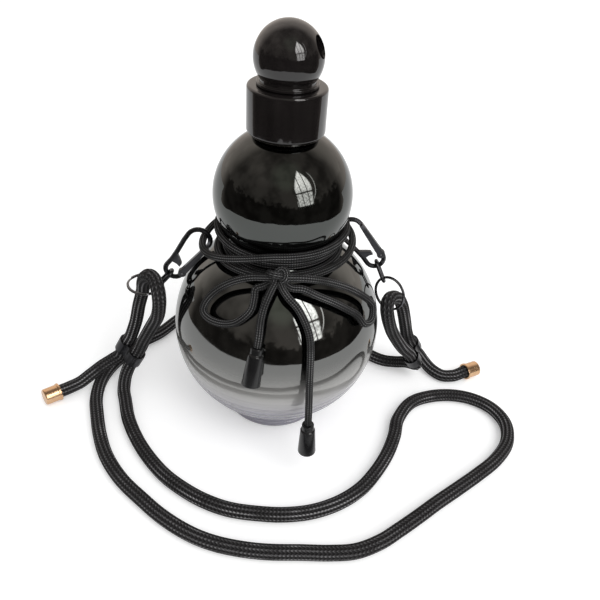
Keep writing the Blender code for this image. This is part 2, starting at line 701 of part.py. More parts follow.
def turning_points(fine, longest, most_turn):
    """Fewer points on a fine route: one where it has run this far or turned this much."""
    kept = [fine[0]]
    run, turned_by = 0.0, 0.0
    for before, here, after in zip(fine, fine[1:], fine[2:]):
        run += (here - before).length
        turned_by += (here - before).angle(after - here, 0.0)
        if run >= longest or turned_by >= most_turn:
            kept.append(here)
            run, turned_by = 0.0, 0.0
    return kept + [fine[-1]]


def make_strap():
    fine = smooth_route(strap_route(), 900)
    points = turning_points(fine, STRAP_DIAMETER * STRAP_STEP_SHARE, STRAP_TURN)
    print(f"strap: length {length_of(fine):.4f} m on {len(points)} points")
    tube("shoulder_strap", points, STRAP_DIAMETER, STRAP_CORD, 2)
    return points


def make_cord(name, route, count):
    points = smooth_route(route, count)
    print(f"{name}: length {length_of(points):.4f} m")
    tube(name, points, CORD_DIAMETER, WAIST_CORD, 2)


def facing(direction, across=None):
    """A rotation whose local Z runs along the direction and whose local X leans across."""
    along = Vector(direction).normalized()
    if across is None:
        across = Vector((1.0, 0.0, 0.0)) if abs(along.x) < 0.9 else Vector((0.0, 1.0, 0.0))
    side = Vector(across)
    side = (side - along * side.dot(along)).normalized()
    return Matrix((side, along.cross(side), along)).transposed()


def place(obj, point, direction, across=None):
    obj.matrix_world = Matrix.Translation(point) @ facing(direction, across).to_4x4()


def make_bell(name, route):
    """A flared tip on a tail: a collar on the cord, a waist and an open mouth."""
    end, before = Vector(route[-1]), Vector(route[-2])
    down = (end - before).normalized()
    profile = [
        (0.0, 0.0),
        (BELL_TOP_RADIUS - BELL_EDGE, 0.0),
        (BELL_TOP_RADIUS, -BELL_EDGE),
        (BELL_TOP_RADIUS, -BELL_COLLAR),
        (BELL_WAIST_RADIUS, -BELL_COLLAR - BELL_EDGE),
        (BELL_MOUTH_RADIUS, -BELL_LENGTH + BELL_EDGE),
        (BELL_MOUTH_RADIUS - BELL_EDGE, -BELL_LENGTH),
        (BELL_MOUTH_RADIUS - BELL_WALL, -BELL_LENGTH),
        (BELL_WAIST_RADIUS - BELL_WALL, -BELL_LENGTH + BELL_HOLLOW),
        (0.0, -BELL_LENGTH + BELL_HOLLOW),
    ]
    bell = turned(name, profile, BELL_PLASTIC, 20)
    place(bell, end + down * CLEARANCE, -down)


# Each clip's arc holds the drawn-out turn of the winding: the station where it does, its lean
# from upright towards +X, and how far the arc's middle lies beyond the cord's.
LEFT_HOLD_TURN = 4.25
LEFT_LEAN = math.radians(36.457)
LEFT_HOLD_OUT = -0.002248
LEFT_HOLD_SIDE = 0.0
LEFT_HOLD_UP = 0.000320
RIGHT_HOLD_TURN = 4.70
RIGHT_LEAN = math.radians(-39.197)
RIGHT_HOLD_OUT = 0.001754
RIGHT_HOLD_SIDE = -0.000144
RIGHT_HOLD_UP = -0.001032
PINCH_OUT_SHARE = 0.96
PINCH_UP_SHARE = 0.22
SPINE_SHARES = (0.45, 0.80)
# The lug's tip in eye radii from the eye's middle, then its corners in lug widths: under its
# root, under and over its nose, and over its root.
LUG_TIP_SHARES = (0.18, 1.02)
LUG_CORNER_SHARES = (1.6, 0.3, 0.7, 1.2)
HUB_END_ANGLE = math.radians(-12)


def frame_path():
    """The wire's centre line in the clip's plane: hub, eye, spine and arc, as (out, along)."""
    centre = (-CLIP_SKEW, CLIP_REACH)
    hub = (GATE_PIVOT_OUT, GATE_PIVOT_UP)
    path = [hub]
    path += arc((0.0, 0.0), CLIP_EYE_RADIUS, HUB_END_ANGLE, -math.pi, math.radians(18))
    pinch = -CLIP_EYE_RADIUS * PINCH_OUT_SHARE
    path += [
        (pinch, CLIP_REACH * PINCH_UP_SHARE),
        (pinch - CLIP_SKEW, CLIP_REACH * SPINE_SHARES[0]),
        (centre[0] - CLIP_ARC_RADIUS + CLIP_SKEW / 2, CLIP_REACH * SPINE_SHARES[1]),
    ]
    path += arc(centre, CLIP_ARC_RADIUS, math.pi, 0.0, math.radians(15))
    return path


def gate_outline():
    """The gate's outline: a round knuckle at the pin and a straight arm up to the arc's end."""
    hub = (GATE_PIVOT_OUT, GATE_PIVOT_UP)
    tip = (CLIP_ARC_RADIUS - CLIP_SKEW, CLIP_REACH - GATE_TIP_GAP)
    half = GATE_WIDTH / 2
    lean = math.atan2(tip[1] - hub[1], tip[0] - hub[0])
    side = (-math.sin(lean), math.cos(lean))
    knuckle = arc(hub, HUB_RADIUS, lean + math.radians(50), lean + math.radians(310), math.radians(26))
    right = (tip[0] - side[0] * half, tip[1])
    left = (tip[0] + side[0] * half, tip[1])
    return knuckle + [right, left]


def held_cord(turn):
    """Middle of the cord where the winding passes one of its stations."""
    radius, height = station(next(row[1:] for row in WINDING_SHARES if row[0] == turn))
    angle = turn * math.tau
    return Vector((-radius * math.sin(angle), -radius * math.cos(angle), height))


def clip_placing(turn, lean, beyond):
    """The middle of the clip's eye, its long axis and the way to its gate."""
    along = Vector((math.sin(lean), 0.0, math.cos(lean)))
    outward = Vector((math.cos(lean), 0.0, -math.sin(lean)))
    arc_middle = held_cord(turn) + Vector(beyond)
    return arc_middle + outward * CLIP_SKEW - along * CLIP_REACH, along, outward


def make_clip(side, placing):
    middle, along, outward = placing
    normal = outward.cross(along)
    world = Matrix.Translation(middle) @ Matrix((outward, along, normal)).transposed().to_4x4()
    hub = Vector((GATE_PIVOT_OUT, GATE_PIVOT_UP, 0.0))

    path = [Vector((out, up, 0.0)) for out, up in frame_path()]
    wire = tube("clip_frame_" + side, path, CLIP_WIRE, CLIP_METAL, 2)
    frame = as_mesh(wire, CLIP_METAL)
    tongue = cylinder("hub_" + side, HUB_RADIUS, CLIP_WIRE, 20)
    tongue.location = hub
    lug = lug_plate(side)
    slab = []
    for sign in (-1, 1):
        cut = cylinder(f"hub_cut_{side}_{sign}", HUB_RADIUS + CLEARANCE, CLIP_WIRE, 20)
        cut.location = hub + Vector((0.0, 0.0, sign * (HUB_THICKNESS + CLIP_WIRE) / 2))
        slab.append(cut)
    drill = cylinder("pin_hole_" + side, PIN_RADIUS + CLEARANCE, GATE_THICKNESS + 2 * OVERRUN, 12)
    drill.location = hub
    boolean(frame, tongue, "UNION")
    boolean(frame, lug, "UNION")
    for cut in slab:
        boolean(frame, cut)
    boolean(frame, drill)

    gate = plate("clip_gate_" + side, [gate_outline()], GATE_THICKNESS, CLIP_METAL)
    gate.data.transform(Matrix.Translation(-hub))
    bevel = gate.modifiers.new("edge", "BEVEL")
    bevel.width = GATE_EDGE
    bevel.segments = 1
    bevel.limit_method = "ANGLE"
    bevel.angle_limit = math.radians(50)
    gap = HUB_THICKNESS + 2 * CLEARANCE
    slot = cylinder("gate_slot_" + side, HUB_RADIUS + GATE_WIDTH, gap, 20)
    boolean(gate, slot)
    bore = cylinder("gate_bore_" + side, PIN_RADIUS + CLEARANCE, GATE_THICKNESS + 2 * OVERRUN, 12)
    boolean(gate, bore)
    pin = cylinder("gate_pin_" + side, PIN_RADIUS, GATE_THICKNESS, 12, PARTS, PIN_METAL)

    for piece in [frame, tongue, lug, *slab, drill]:
        piece.matrix_world = world @ piece.matrix_basis
    for piece in (gate, slot, bore, pin):
        piece.matrix_world = world @ Matrix.Translation(hub)
    print(f"clip {side}: gate axis {tuple(round(v, 5) for v in normal)} at"
          f" {tuple(round(v, 5) for v in world @ hub)}")


def lug_plate(side):
    """The lug on the spine that narrows the eye's mouth."""
    root = -CLIP_EYE_RADIUS * PINCH_OUT_SHARE
    out, up = (CLIP_EYE_RADIUS * share for share in LUG_TIP_SHARES)
    top = up + CLIP_LUG_WIDTH
    under_root, under_nose, over_nose, over_root = (CLIP_LUG_WIDTH * share for share in LUG_CORNER_SHARES)
    low = up - CLIP_LUG_WIDTH / 2
    loop = [
        (root, top - under_root),
        (out - CLIP_LUG_WIDTH, low),
        (out, low - under_nose),
        (out, low + over_nose),
        (out - CLIP_LUG_WIDTH, top),
        (root, top + over_root),
    ]
    return plate("lug_" + side, [loop], CLIP_WIRE - GATE_EDGE, None, CUTTERS)


def link_path():
    """The oval link's centre line about its own middle, as (across, along)."""
    bend = (LINK_WIDTH - LINK_WIRE) / 2
    run = LINK_LENGTH / 2 - LINK_WIRE / 2 - bend
    upper = arc((0.0, run), bend, 0.0, math.pi, math.radians(30))
    lower = arc((0.0, -run), bend, math.pi, math.tau, math.radians(30))
    return upper + lower


# The way each link hangs from its clip's eye, and each ring from its link: the ring's reach and
# the way its wire runs where it passes through the link.
LEFT_HANG = ((-0.670, -0.240, -0.700), (-0.990, 0.130, 0.060), (0.130, 0.990, -0.010))
RIGHT_HANG = ((0.400, -0.530, -0.750), (0.460, -0.530, -0.710), (0.580, -0.420, 0.700))


def make_link_and_ring(side, placing, hang, slack):
    middle = placing[0]
    down, reach, through = (Vector(v).normalized() for v in hang)
    around = middle + Vector((down.x, 0.0, down.z)).normalized() * CLIP_EYE_RADIUS
    link_middle = around + down * (LINK_LENGTH - LINK_WIDTH) / 2
    across = Vector((0.0, 1.0, 0.0))
    across = (across - down * across.dot(down)).normalized()
    path = [link_middle + across * a - down * b for a, b in link_path()]
    tube("connector_link_" + side, path, LINK_WIRE, CLIP_METAL, 2, closed=True)
    bottom_bar = link_middle + down * (LINK_LENGTH - LINK_WIRE) / 2
    radius = (RING_DIAMETER - RING_WIRE) / 2
    inside = radius - RING_WIRE / 2 - LINK_WIRE / 2 - slack
    centre = bottom_bar + reach * inside
    through = (through - reach * through.dot(reach)).normalized()
    count = 28
    loop = [
        centre + (reach * math.cos(math.tau * k / count) + through * math.sin(math.tau * k / count)) * radius
        for k in range(count)
    ]
    tube("split_ring_" + side, loop, RING_WIRE, RING_METAL, 1, closed=True)
    print(f"link {side}: bottom bar {tuple(round(v, 5) for v in bottom_bar)},"
          f" ring middle {tuple(round(v, 5) for v in centre)}")


def make_sleeve(name, placing):
    middle, axis, side = sleeve_frame(placing)
    bore = STRAP_DIAMETER / 2 + SLIDE_CLEARANCE
    outer = bore + SLEEVE_WALL
    half = SLEEVE_PITCH / 2
    loop = arc((half, 0.0), outer, -math.pi / 2, math.pi / 2, math.radians(18))
    loop += arc((-half, 0.0), outer, math.pi / 2, math.pi * 1.5, math.radians(18))
    holes = [
        arc((sign * half, 0.0), bore, 0.0, math.tau * (1 - 1 / 24), math.tau / 23)
        for sign in (-1, 1)
    ]
    sleeve = plate(name, [loop, *holes], SLEEVE_LENGTH, SLEEVE_METAL)
    waist = []
    for sign in (-1, 1):
        groove = cylinder(f"{name}_groove_{sign}", SLEEVE_GROOVE_RADIUS, SLEEVE_LENGTH + OVERRUN, 20)
        groove.location = (0.0, sign * (outer + SLEEVE_GROOVE_RADIUS - SLEEVE_GROOVE_DEPTH), 0.0)
        waist.append(groove)
        boolean(sleeve, groove)
    world = Matrix.Translation(middle) @ facing(axis, side).to_4x4()
    for piece in [sleeve, *waist]:
        piece.matrix_world = world @ piece.matrix_basis
    smooth(sleeve.data)


def make_cap(name, route, at_start):
    """A metal ferrule on the strap's end: a socket with a raised ring at its mouth."""
    points = [Vector(p) for p in route]
    end, before = (points[0], points[1]) if at_start else (points[-1], points[-2])
    away = (end - before).normalized()
    bore = STRAP_DIAMETER / 2 + SLIDE_CLEARANCE
    outer = bore + CAP_WALL
    ring = outer + CAP_RING_RAISE
    profile = [(0.0, CAP_LENGTH)]
    profile += arc((outer - CAP_EDGE, CAP_LENGTH - CAP_EDGE), CAP_EDGE, math.pi / 2, 0.0, math.pi / 6)
    profile += [
        (outer, CAP_RING_HEIGHT),
        (ring, CAP_RING_HEIGHT),
        (ring, 0.0),
        (bore, 0.0),
        (bore, CAP_SOCKET),
        (0.0, CAP_SOCKET),
    ]
    cap = turned(name, profile, CAP_METAL, SMALL_SEGMENTS)
    place(cap, end - away * (CAP_SOCKET - CLEARANCE), away)


make_bottle()
make_collar()
make_stopper()
make_winding()
make_knot()
make_cord("bow_loop_left", LEFT_LOOP, 22)
make_cord("bow_loop_right", RIGHT_LOOP, 24)
make_cord("bow_tail_left", LEFT_TAIL, 8)
make_cord("bow_tail_right", RIGHT_TAIL, 14)
make_bell("tail_bell_left", LEFT_TAIL)
make_bell("tail_bell_right", RIGHT_TAIL)
left_clip = clip_placing(
    LEFT_HOLD_TURN, LEFT_LEAN, (LEFT_HOLD_OUT, LEFT_HOLD_SIDE, LEFT_HOLD_UP)
)
right_clip = clip_placing(
    RIGHT_HOLD_TURN, RIGHT_LEAN, (RIGHT_HOLD_OUT, RIGHT_HOLD_SIDE, RIGHT_HOLD_UP)
)
make_clip("left", left_clip)
make_clip("right", right_clip)
make_link_and_ring("left", left_clip, LEFT_HANG, LEFT_RING_SLACK)
make_link_and_ring("right", right_clip, RIGHT_HANG, CLEARANCE)
strap_points = make_strap()
make_sleeve("strap_sleeve_left", LEFT_SLEEVE)
make_sleeve("strap_sleeve_right", RIGHT_SLEEVE)
make_cap("strap_end_cap_left", strap_points, True)
make_cap("strap_end_cap_right", strap_points, False)
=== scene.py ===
# %% [markdown]
# # A double gourd bottle of mirror-dark glass
# The bottle stands on a white surface with a ball stopper in its neck, a cord wound and tied
# round its waist, and a long carrying strap on two spring clips. The imported model fixes each
# size and place. This notebook gives each piece its full shape and finish, and it hides the
# model's pieces that it replaces.

# %% The imported model
import math

import bmesh
import bpy
import numpy as np
from mathutils import Matrix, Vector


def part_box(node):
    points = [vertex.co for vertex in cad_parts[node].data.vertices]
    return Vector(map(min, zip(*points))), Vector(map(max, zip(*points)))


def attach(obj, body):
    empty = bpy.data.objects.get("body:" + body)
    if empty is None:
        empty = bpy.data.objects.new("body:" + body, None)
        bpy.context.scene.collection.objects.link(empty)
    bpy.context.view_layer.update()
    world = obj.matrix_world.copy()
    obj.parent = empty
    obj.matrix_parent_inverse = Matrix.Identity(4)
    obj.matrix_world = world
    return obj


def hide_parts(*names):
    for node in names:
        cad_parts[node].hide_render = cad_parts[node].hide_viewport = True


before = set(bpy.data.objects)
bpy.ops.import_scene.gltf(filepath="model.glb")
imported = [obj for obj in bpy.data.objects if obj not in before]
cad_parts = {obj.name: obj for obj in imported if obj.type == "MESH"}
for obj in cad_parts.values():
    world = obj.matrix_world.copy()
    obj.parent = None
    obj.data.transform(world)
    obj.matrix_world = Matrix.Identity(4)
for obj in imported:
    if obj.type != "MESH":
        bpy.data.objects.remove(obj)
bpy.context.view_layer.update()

# %% [markdown]
# ## The camera
# The photograph is matched by the eye's place, three turns and the lens. Typed in as angles of
# the camera object, the turns would need their order to be known, so here each is a rotation
# of its own, and the eye's axes are the product of the three.

# %% The camera
EYE = (0.0, -0.3059, 0.3023)
HEADING, TILT, ROLL = math.radians(2.412), math.radians(36.378), math.radians(4.056)
SENSOR_WIDTH, LENS = 36.0, 39.0
NEAREST = 0.01


def view_axes(heading, tilt, roll):
    """Right, up and backward. With nought for all three turns the view is level, along +Y. It
    is rolled about its own line first, then tilted down, then turned to the right."""
    rolled = Matrix.Rotation(math.pi / 2 - tilt, 3, "X") @ Matrix.Rotation(roll, 3, "Z")
    return (Matrix.Rotation(-heading, 3, "Z") @ rolled).transposed()


def put(name, data, axes=((1, 0, 0), (0, 1, 0), (0, 0, 1)), place=(0, 0, 0)):
    """A new object in the scene. Its matrix has the three axes and the place as its columns."""
    matrix = np.eye(4)
    matrix[:3] = np.column_stack([*axes, place])
    made = bpy.data.objects.new(name, data)
    made.matrix_world = Matrix(matrix.tolist())
    bpy.context.scene.collection.objects.link(made)
    return made


camera = put("camera", bpy.data.cameras.new("camera"), view_axes(HEADING, TILT, ROLL), EYE)
camera.data.sensor_width, camera.data.lens = SENSOR_WIDTH, LENS
camera.data.clip_start = NEAREST
bpy.context.scene.camera = camera
bpy.context.scene.view_settings.view_transform = "Standard"
print("camera at", EYE)

# %% [markdown]
# ## Lines in space
# A cord is known by a few points that it passes. Straight lines between them would leave
# corners, and a Bezier spline would need handles, so a Catmull-Rom curve is used, which goes
# through every point. It is then spaced evenly, because all stitches are equally long.

# %% Lines through given points
TURN = 2 * math.pi
CURVE_STEPS = 24


def millimetres(*rows):
    """The rows as an array in metres."""
    return np.array(rows, float) / 1000


def run_of(line):
    """Path length from the line's start to each of its points."""
    return np.concatenate([[0.0], np.cumsum(np.linalg.norm(np.diff(line, axis=0), axis=1))])


def length_of(line):
    """Path length from the line's start to its end."""
    return float(run_of(line)[-1])


def spaced(line, step):
    """Points a step apart along the line: each coordinate is read off at even path lengths."""
    along = run_of(line)
    at = np.linspace(0.0, along[-1], max(2, round(along[-1] / step) + 1))
    return np.column_stack([np.interp(at, along, line[:, k]) for k in range(3)])


def smooth_line(points, step):
    """Catmull-Rom curve: between b and c it is half of 2b + (c - a)t + (2a - 5b + 4c - d)t^2 +
    (3b - a - 3c + d)t^3, where a and d are the points before and after."""
    given = np.array(points, float)
    ends = np.vstack([2 * given[0] - given[1], given, 2 * given[-1] - given[-2]])
    a, b, c, d = (ends[k : len(given) - 1 + k, None] for k in range(4))
    t = np.linspace(0.0, 1.0, CURVE_STEPS, endpoint=False)[None, :, None]
    curve = 2 * b + (c - a) * t + (2 * a - 5 * b + 4 * c - d) * t**2
    curve = curve + (3 * b - a - 3 * c + d) * t**3
    return spaced(np.vstack([curve.reshape(-1, 3) / 2, given[-1:]]), step)


# %% [markdown]
# ## From a grid of points to a mesh
# Every new piece is a grid: rows run along it and columns round it. One function makes a closed
# mesh of it. A row whose points all coincide is a pole and becomes one vertex with triangles
# round it, so that no hole is left. The UV map is the share of a turn and the metres along.

# %% Mesh over a grid
GRID_CREASE = 40.0
NO_SPREAD = 1e-9


def unit(rows):
    """Each row divided by its length."""
    return rows / np.linalg.norm(rows, axis=-1, keepdims=True)


def square_to(axis, rough):
    """The rough direction less its share along the unit axis, brought to length 1."""
    return unit(rough - axis * (rough @ axis))


def is_pole(row):
    """Whether all points of the row coincide: no coordinate spreads over it."""
    return bool(np.ptp(row, axis=0).max() < NO_SPREAD)


def shade(mesh, crease):
    """Smooth shading, but sharp where two faces meet at more than the crease, in degrees."""
    mesh.shade_smooth()
    mesh.set_sharp_from_angle(angle=math.radians(crease))


def skin(name, grid, along=None, ring=False):
    """Closed mesh over grid[row, column]: columns wrap round, and rows wrap too for a ring.
    Cell (r, c) has the corners (r, c), (r, c+1), (r+1, c+1), (r+1, c)."""
    rows, cols = grid.shape[:2]
    along = run_of(grid[:, 0]) if along is None else along
    index = np.arange(rows * cols).reshape(rows, cols)
    for row in (0, -1):
        if not ring and is_pole(grid[row]):
            index[row] = index[row, 0]
    r, c = np.meshgrid(np.arange(rows if ring else rows - 1), np.arange(cols), indexing="ij")
    r, c = r.ravel(), c.ravel()
    next_r, next_c = (r + 1) % rows, (c + 1) % cols
    cells = np.column_stack([
        index[r, c], index[r, next_c], index[next_r, next_c], index[next_r, c]
    ])
    share = np.column_stack([c, c + 1, c + 1, c]) / cols
    way = np.append(along, 2 * along[-1] - along[-2])
    run = np.column_stack([way[r], way[r], way[r + 1], way[r + 1]])
    used, flat = np.unique(cells, return_inverse=True)
    cells = flat.reshape(cells.shape)
    keep = cells != np.roll(cells, 1, axis=1)
    size = keep.sum(axis=1)
    mesh = bpy.data.meshes.new(name)
    mesh.vertices.add(len(used))
    mesh.vertices.foreach_set("co", grid.reshape(-1, 3)[used].astype(np.float32).ravel())
    mesh.loops.add(int(size.sum()))
    mesh.loops.foreach_set("vertex_index", cells[keep].astype(np.int32))
    mesh.polygons.add(len(cells))
    starts = np.concatenate([[0], np.cumsum(size)[:-1]])
    mesh.polygons.foreach_set("loop_start", starts.astype(np.int32))
    mesh.update(calc_edges=True)
    places = np.stack([share[keep], run[keep]], axis=1).astype(np.float32)
    mesh.uv_layers.new(name="UVMap").data.foreach_set("uv", places.ravel())
    shade(mesh, GRID_CREASE)
    return put(name, mesh)


# %% [markdown]
# ## Tubes
# A cord is a ring of points carried along a line. If each ring were turned to face up, the cord
# would spin wherever the line runs steeply. Instead two reflections carry the ring's side from
# point to point, which adds no twist. The radius may change round the ring, as plaits need.

# %% Tubes along a line
NO_GAP = 1e-18
STEEP = 0.8


def mirrored(vector, normal):
    """The vector v reflected in the plane square to the normal n: v - 2 n (n . v) / (n . n)."""
    return vector - 2 * normal * (normal @ vector) / (normal @ normal)


def carried(line):
    """Tangent, side and up at each point. Each side is the one before, reflected in the plane
    halfway to the next point and then in the plane between the two tangents."""
    tangent = unit(np.gradient(line, axis=0))
    side = np.empty_like(line)
    rough = np.array([1.0, 0.0, 0.0]) if abs(tangent[0, 2]) > STEEP else np.array([0.0, 0.0, 1.0])
    side[0] = unit(np.cross(rough, tangent[0]))
    step = np.diff(line, axis=0)
    for k in range(len(step)):
        flipped = mirrored(side[k], step[k])
        gap = tangent[k + 1] - mirrored(tangent[k], step[k])
        if gap @ gap > NO_GAP:
            flipped = mirrored(flipped, gap)
        side[k + 1] = square_to(tangent[k + 1], flipped)
    return tangent, side, np.cross(tangent, side)


def tube_rings(line, radius, around):
    """Ring at each point: middle + radius(turn, along) * (cos(turn) * side + sin(turn) * up)."""
    _, side, above = carried(line)
    along = run_of(line)
    turn = np.arange(around) * TURN / around
    reach = radius(turn[None, :], along[:, None]) + np.zeros((len(line), around))
    way = np.cos(turn)[None, :, None] * side[:, None] + np.sin(turn)[None, :, None] * above[:, None]
    return line[:, None] + reach[..., None] * way, along


def capped(rings, along):
    """The rings with a flat end at each side: one more row at each end, shrunk to its middle."""
    middle = rings[[0, -1]].mean(axis=1, keepdims=True).repeat(rings.shape[1], axis=1)
    grid = np.concatenate([middle[:1], rings, middle[1:]])
    return grid, np.concatenate([along[:1], along, along[-1:]])


def plaited(diameter, plaits, depth):
    """Radius of a braid, r * (1 - depth * |cos(turn * plaits / 2)| ** 6): the high power keeps
    the groove between two plaits narrow."""
    def radius(turn, along):
        """The same all along, so only the turn counts."""
        return diameter / 2 * (1 - depth * np.abs(np.cos(turn * plaits / 2)) ** 6)
    return radius


# %% [markdown]
# ## Node trees as sums
# A pattern is easier to read as a formula than as boxes and wires. The small class below holds
# one socket. Each sign between two of them adds a Math node, and one method adds any node.

# %% Sockets that can be written in sums
def sign(operation, swapped=False):
    """A method that adds this Math node for a flow and the other value, or for the other value
    and the flow where they are swapped, as in 1 - mask."""
    def method(self, other):
        return self.math(operation, *((other, self) if swapped else (self, other)))
    return method


class Flow:
    """A value that flows through a node tree."""

    def __init__(self, tree, socket=None):
        self.tree = tree
        self.socket = socket

    __add__, __radd__ = sign("ADD"), sign("ADD", swapped=True)
    __sub__, __rsub__ = sign("SUBTRACT"), sign("SUBTRACT", swapped=True)
    __mul__, __rmul__ = sign("MULTIPLY"), sign("MULTIPLY", swapped=True)
    __truediv__, __pow__, __gt__ = sign("DIVIDE"), sign("POWER"), sign("GREATER_THAN")

    def into(self, socket):
        """Links this flow to a socket."""
        self.tree.links.new(self.socket, socket)

    def node(self, kind, sockets=None, output=0, stops=None, **settings):
        """Any shader node: its settings come first, then the values or links of its sockets."""
        made = self.tree.nodes.new("ShaderNode" + kind)
        for key, value in settings.items():
            setattr(made, key, value)
        if stops:
            ramp = made.color_ramp
            while len(ramp.elements) < len(stops):
                ramp.elements.new(0.5)
            for element, (position, colour) in zip(ramp.elements, stops):
                element.position = position
                element.color = (*colour, 1.0)
        for key, value in (sockets or {}).items():
            fill(made.inputs[key], value)
        return Flow(self.tree, made.outputs[output])

    def beside(self, output):
        """Another output of the node that this flow comes from."""
        return Flow(self.tree, self.socket.node.outputs[output])

    def math(self, operation, *values):
        """A Math node over the values."""
        return self.node("Math", dict(enumerate(values)), operation=operation)

    def wave(self):
        """Sine of this flow, taken as a number of turns."""
        return self.math("SINE", self * TURN)

    def size(self):
        """This flow without its sign."""
        return self.math("ABSOLUTE", self)

    def off_middle(self):
        """Distance from the middle between two whole numbers: nought there, a half at both."""
        return (self.math("FRACT", self) - 0.5).size()

    def as_share(self):
        """A wave from -1 to 1, brought to 0 to 1."""
        return self * 0.5 + 0.5

    def between(self, low, high):
        """0 below low, 1 above high, and an even S-shaped rise from one to the other."""
        return self.node("MapRange", {"Value": self, "From Min": low, "From Max": high},
                         interpolation_type="SMOOTHSTEP")

    def blend(self, first, second):
        """The first colour where this flow is 0 and the second where it is 1."""
        return self.node("Mix", {0: self, 6: first, 7: second}, output=2, data_type="RGBA")

    def noise(self, scale, detail):
        """Cloudy noise over this place."""
        return self.node("TexNoise", {"Vector": self, "Scale": scale, "Detail": detail})

    def bump(self, strength, distance):
        """The normal that this height gives."""
        return self.node("Bump", {"Strength": strength, "Distance": distance, "Height": self})


def fill(socket, value):
    """Links a flow to the socket, or sets a value on it. A colour is given without its alpha."""
    if isinstance(value, Flow):
        value.into(socket)
    else:
        socket.default_value = (*value, 1.0) if isinstance(value, tuple) else value


def parts_of(vector):
    """The three components of a vector socket."""
    split = vector.node("SeparateXYZ", {0: vector})
    return [split.beside(k) for k in range(3)]


def new_look(name):
    """A new material, its Principled shader and its object coordinates."""
    made = bpy.data.materials.new(name)
    made.use_nodes = True
    place = Flow(made.node_tree).node("TexCoord", output="Object")
    return made, made.node_tree.nodes["Principled BSDF"], place


def set_look(shader, **sockets):
    """Values or flows into the shader's sockets, named with _ for a space."""
    for key, value in sockets.items():
        fill(shader.inputs[key.replace("_", " ")], value)


def surface(look, share, first, second):
    """The material shows the first shader where the share is 0 and the second where it is 1."""
    both = share.node("MixShader", {0: share, 1: first, 2: second})
    both.into(look.node_tree.nodes["Material Output"].inputs["Surface"])
    return look


# %% [markdown]
# ## The braid's finish
# Both cords are black braids. Their plaits are in the mesh, but the slanting stitches are too
# fine for that, so a bump draws them from the UV map: a sine of the metres along, shifted by
# the distance from the plait's middle, gives chevrons. Some threads are paler, and show as
# dashed lines along the cord, plainer on one side of it than on the other. The crest of each
# stitch is painted paler too, in the same colour: a painted highlight.

# %% Braid
PLAITS = 10


def braid(name, stitch, dash, lines, even, base, pale_thread_and_highlight):
    """Stitches: the wave of (metres / stitch + 1.4 * distance from the plait's middle). Threads:
    lines lengthwise, broken into dashes, and dimmed to the share even on one side. A painted
    highlight blends up to 0.22 of the way to the pale colour on each stitch's crest, less
    towards the plait's edge."""
    look, shader, place = new_look(name)
    across, along, _ = parts_of(place.node("UVMap"))
    in_plait = (across * PLAITS).off_middle()
    wave = (along / stitch + in_plait * 1.4).wave()
    ridge = wave.as_share()
    strand = (across * PLAITS * 4.0).wave().as_share()
    noise, worn = place.noise(900.0, 3.0), place.noise(60.0, 2.0)
    off_line = (across * lines + wave * 0.05).off_middle()
    dashes = (along / dash).wave().between(-0.5, 0.6)
    sector = (across * 2.0 + worn * 0.8).wave().between(-0.3, 0.7)
    threads_and_crest_highlight = (1.0 - off_line.between(0.05, 0.22)) * (0.35 + dashes * 0.65) * worn.between(0.25, 0.65)
    threads_and_crest_highlight = threads_and_crest_highlight * (even + sector * (1.0 - even))
    # Painted highlight: the stitch crests are lightened in the base colour.
    threads_and_crest_highlight = threads_and_crest_highlight + ridge.between(0.55, 1.0) * (1.0 - in_plait * 1.9) * 0.22
    set_look(
        shader, Base_Color=threads_and_crest_highlight.blend(base, pale_thread_and_highlight), Roughness=0.58 + noise * 0.25,
        Normal=(ridge * 0.8 + strand * 0.35 + noise * 0.4).bump(1.0, 0.0004),
        Specular_IOR_Level=0.22,
    )
    return look


# The pale thread colour is also the colour of the painted highlight on the stitch crests.
STRAP_BRAID = braid("strap_braid", stitch=0.0021, dash=0.0019, lines=10, even=0.30,
                    base=(0.0110, 0.0102, 0.0108), pale_thread_and_highlight=(0.30, 0.295, 0.30))
WAIST_BRAID = braid("waist_braid", stitch=0.0012, dash=0.0013, lines=9, even=0.65,
                    base=(0.0050, 0.0050, 0.0052), pale_thread_and_highlight=(0.27, 0.27, 0.272))
print("braids:", STRAP_BRAID.name, WAIST_BRAID.name)


def dress(piece, look, slot, *nodes, body="bottle"):
    """Gives a piece its finish and its body, and hides the nodes it stands for. The slot is not
    used.
    """
    piece.data.materials.clear()
    piece.data.materials.append(look)
    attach(piece, body)
    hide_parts(*nodes)
    print(f"{piece.name}: {len(piece.data.polygons)} faces")
    return piece


# %% [markdown]
# ## The carrying strap
# The strap is one 8 mm braid about 1.45 m long. It lies in two bows on the floor. At each side
# it rises through one bore of a double sleeve, goes through a split ring and comes down through
# the sleeve's other bore. The photograph shows how it came to rest, so its route is given, not
# simulated. Five points in a row hold it straight in each bore.

# %% The strap's route
STRAP_DIAMETER = 0.0080
STRAP_GROOVE = 0.13
STRAP_STEP = 0.0011
SLEEVE_LENGTH = 0.0090
SLEEVE_PITCH = 0.0104
LEFT_TIP = millimetres(
    (-138.5, -15.2, 5.8), (-135.5, -12.8, 5.7), (-132.5, -10.4, 5.6), (-129, -7.7, 5.6),
    (-123.2, -3.8, 6.6), (-117.2, 0.6, 9.8), (-111.2, 4.6, 13.3), (-105.5, 7.8, 16),
)
LEFT_ARCH = millimetres(
    (-86.6, 9, 49.1), (-83.8, 9, 61), (-80, 6.7, 74.1), (-78.1, 2.7, 83), (-75.4, -1.4, 89.2),
    (-72.2, -4.4, 92.1), (-69.3, -7, 91.2), (-67.1, -11.5, 88.6), (-66.3, -13.4, 84.3),
    (-66.8, -12.7, 77.1), (-69.2, -9, 67), (-73.8, -5, 56.5), (-80, -1, 43),
)
LEFT_LANDING = millimetres(
    (-95, 0.5, 10.5), (-95.7, -3.5, 5.8), (-94.8, -9, 4.1),
)
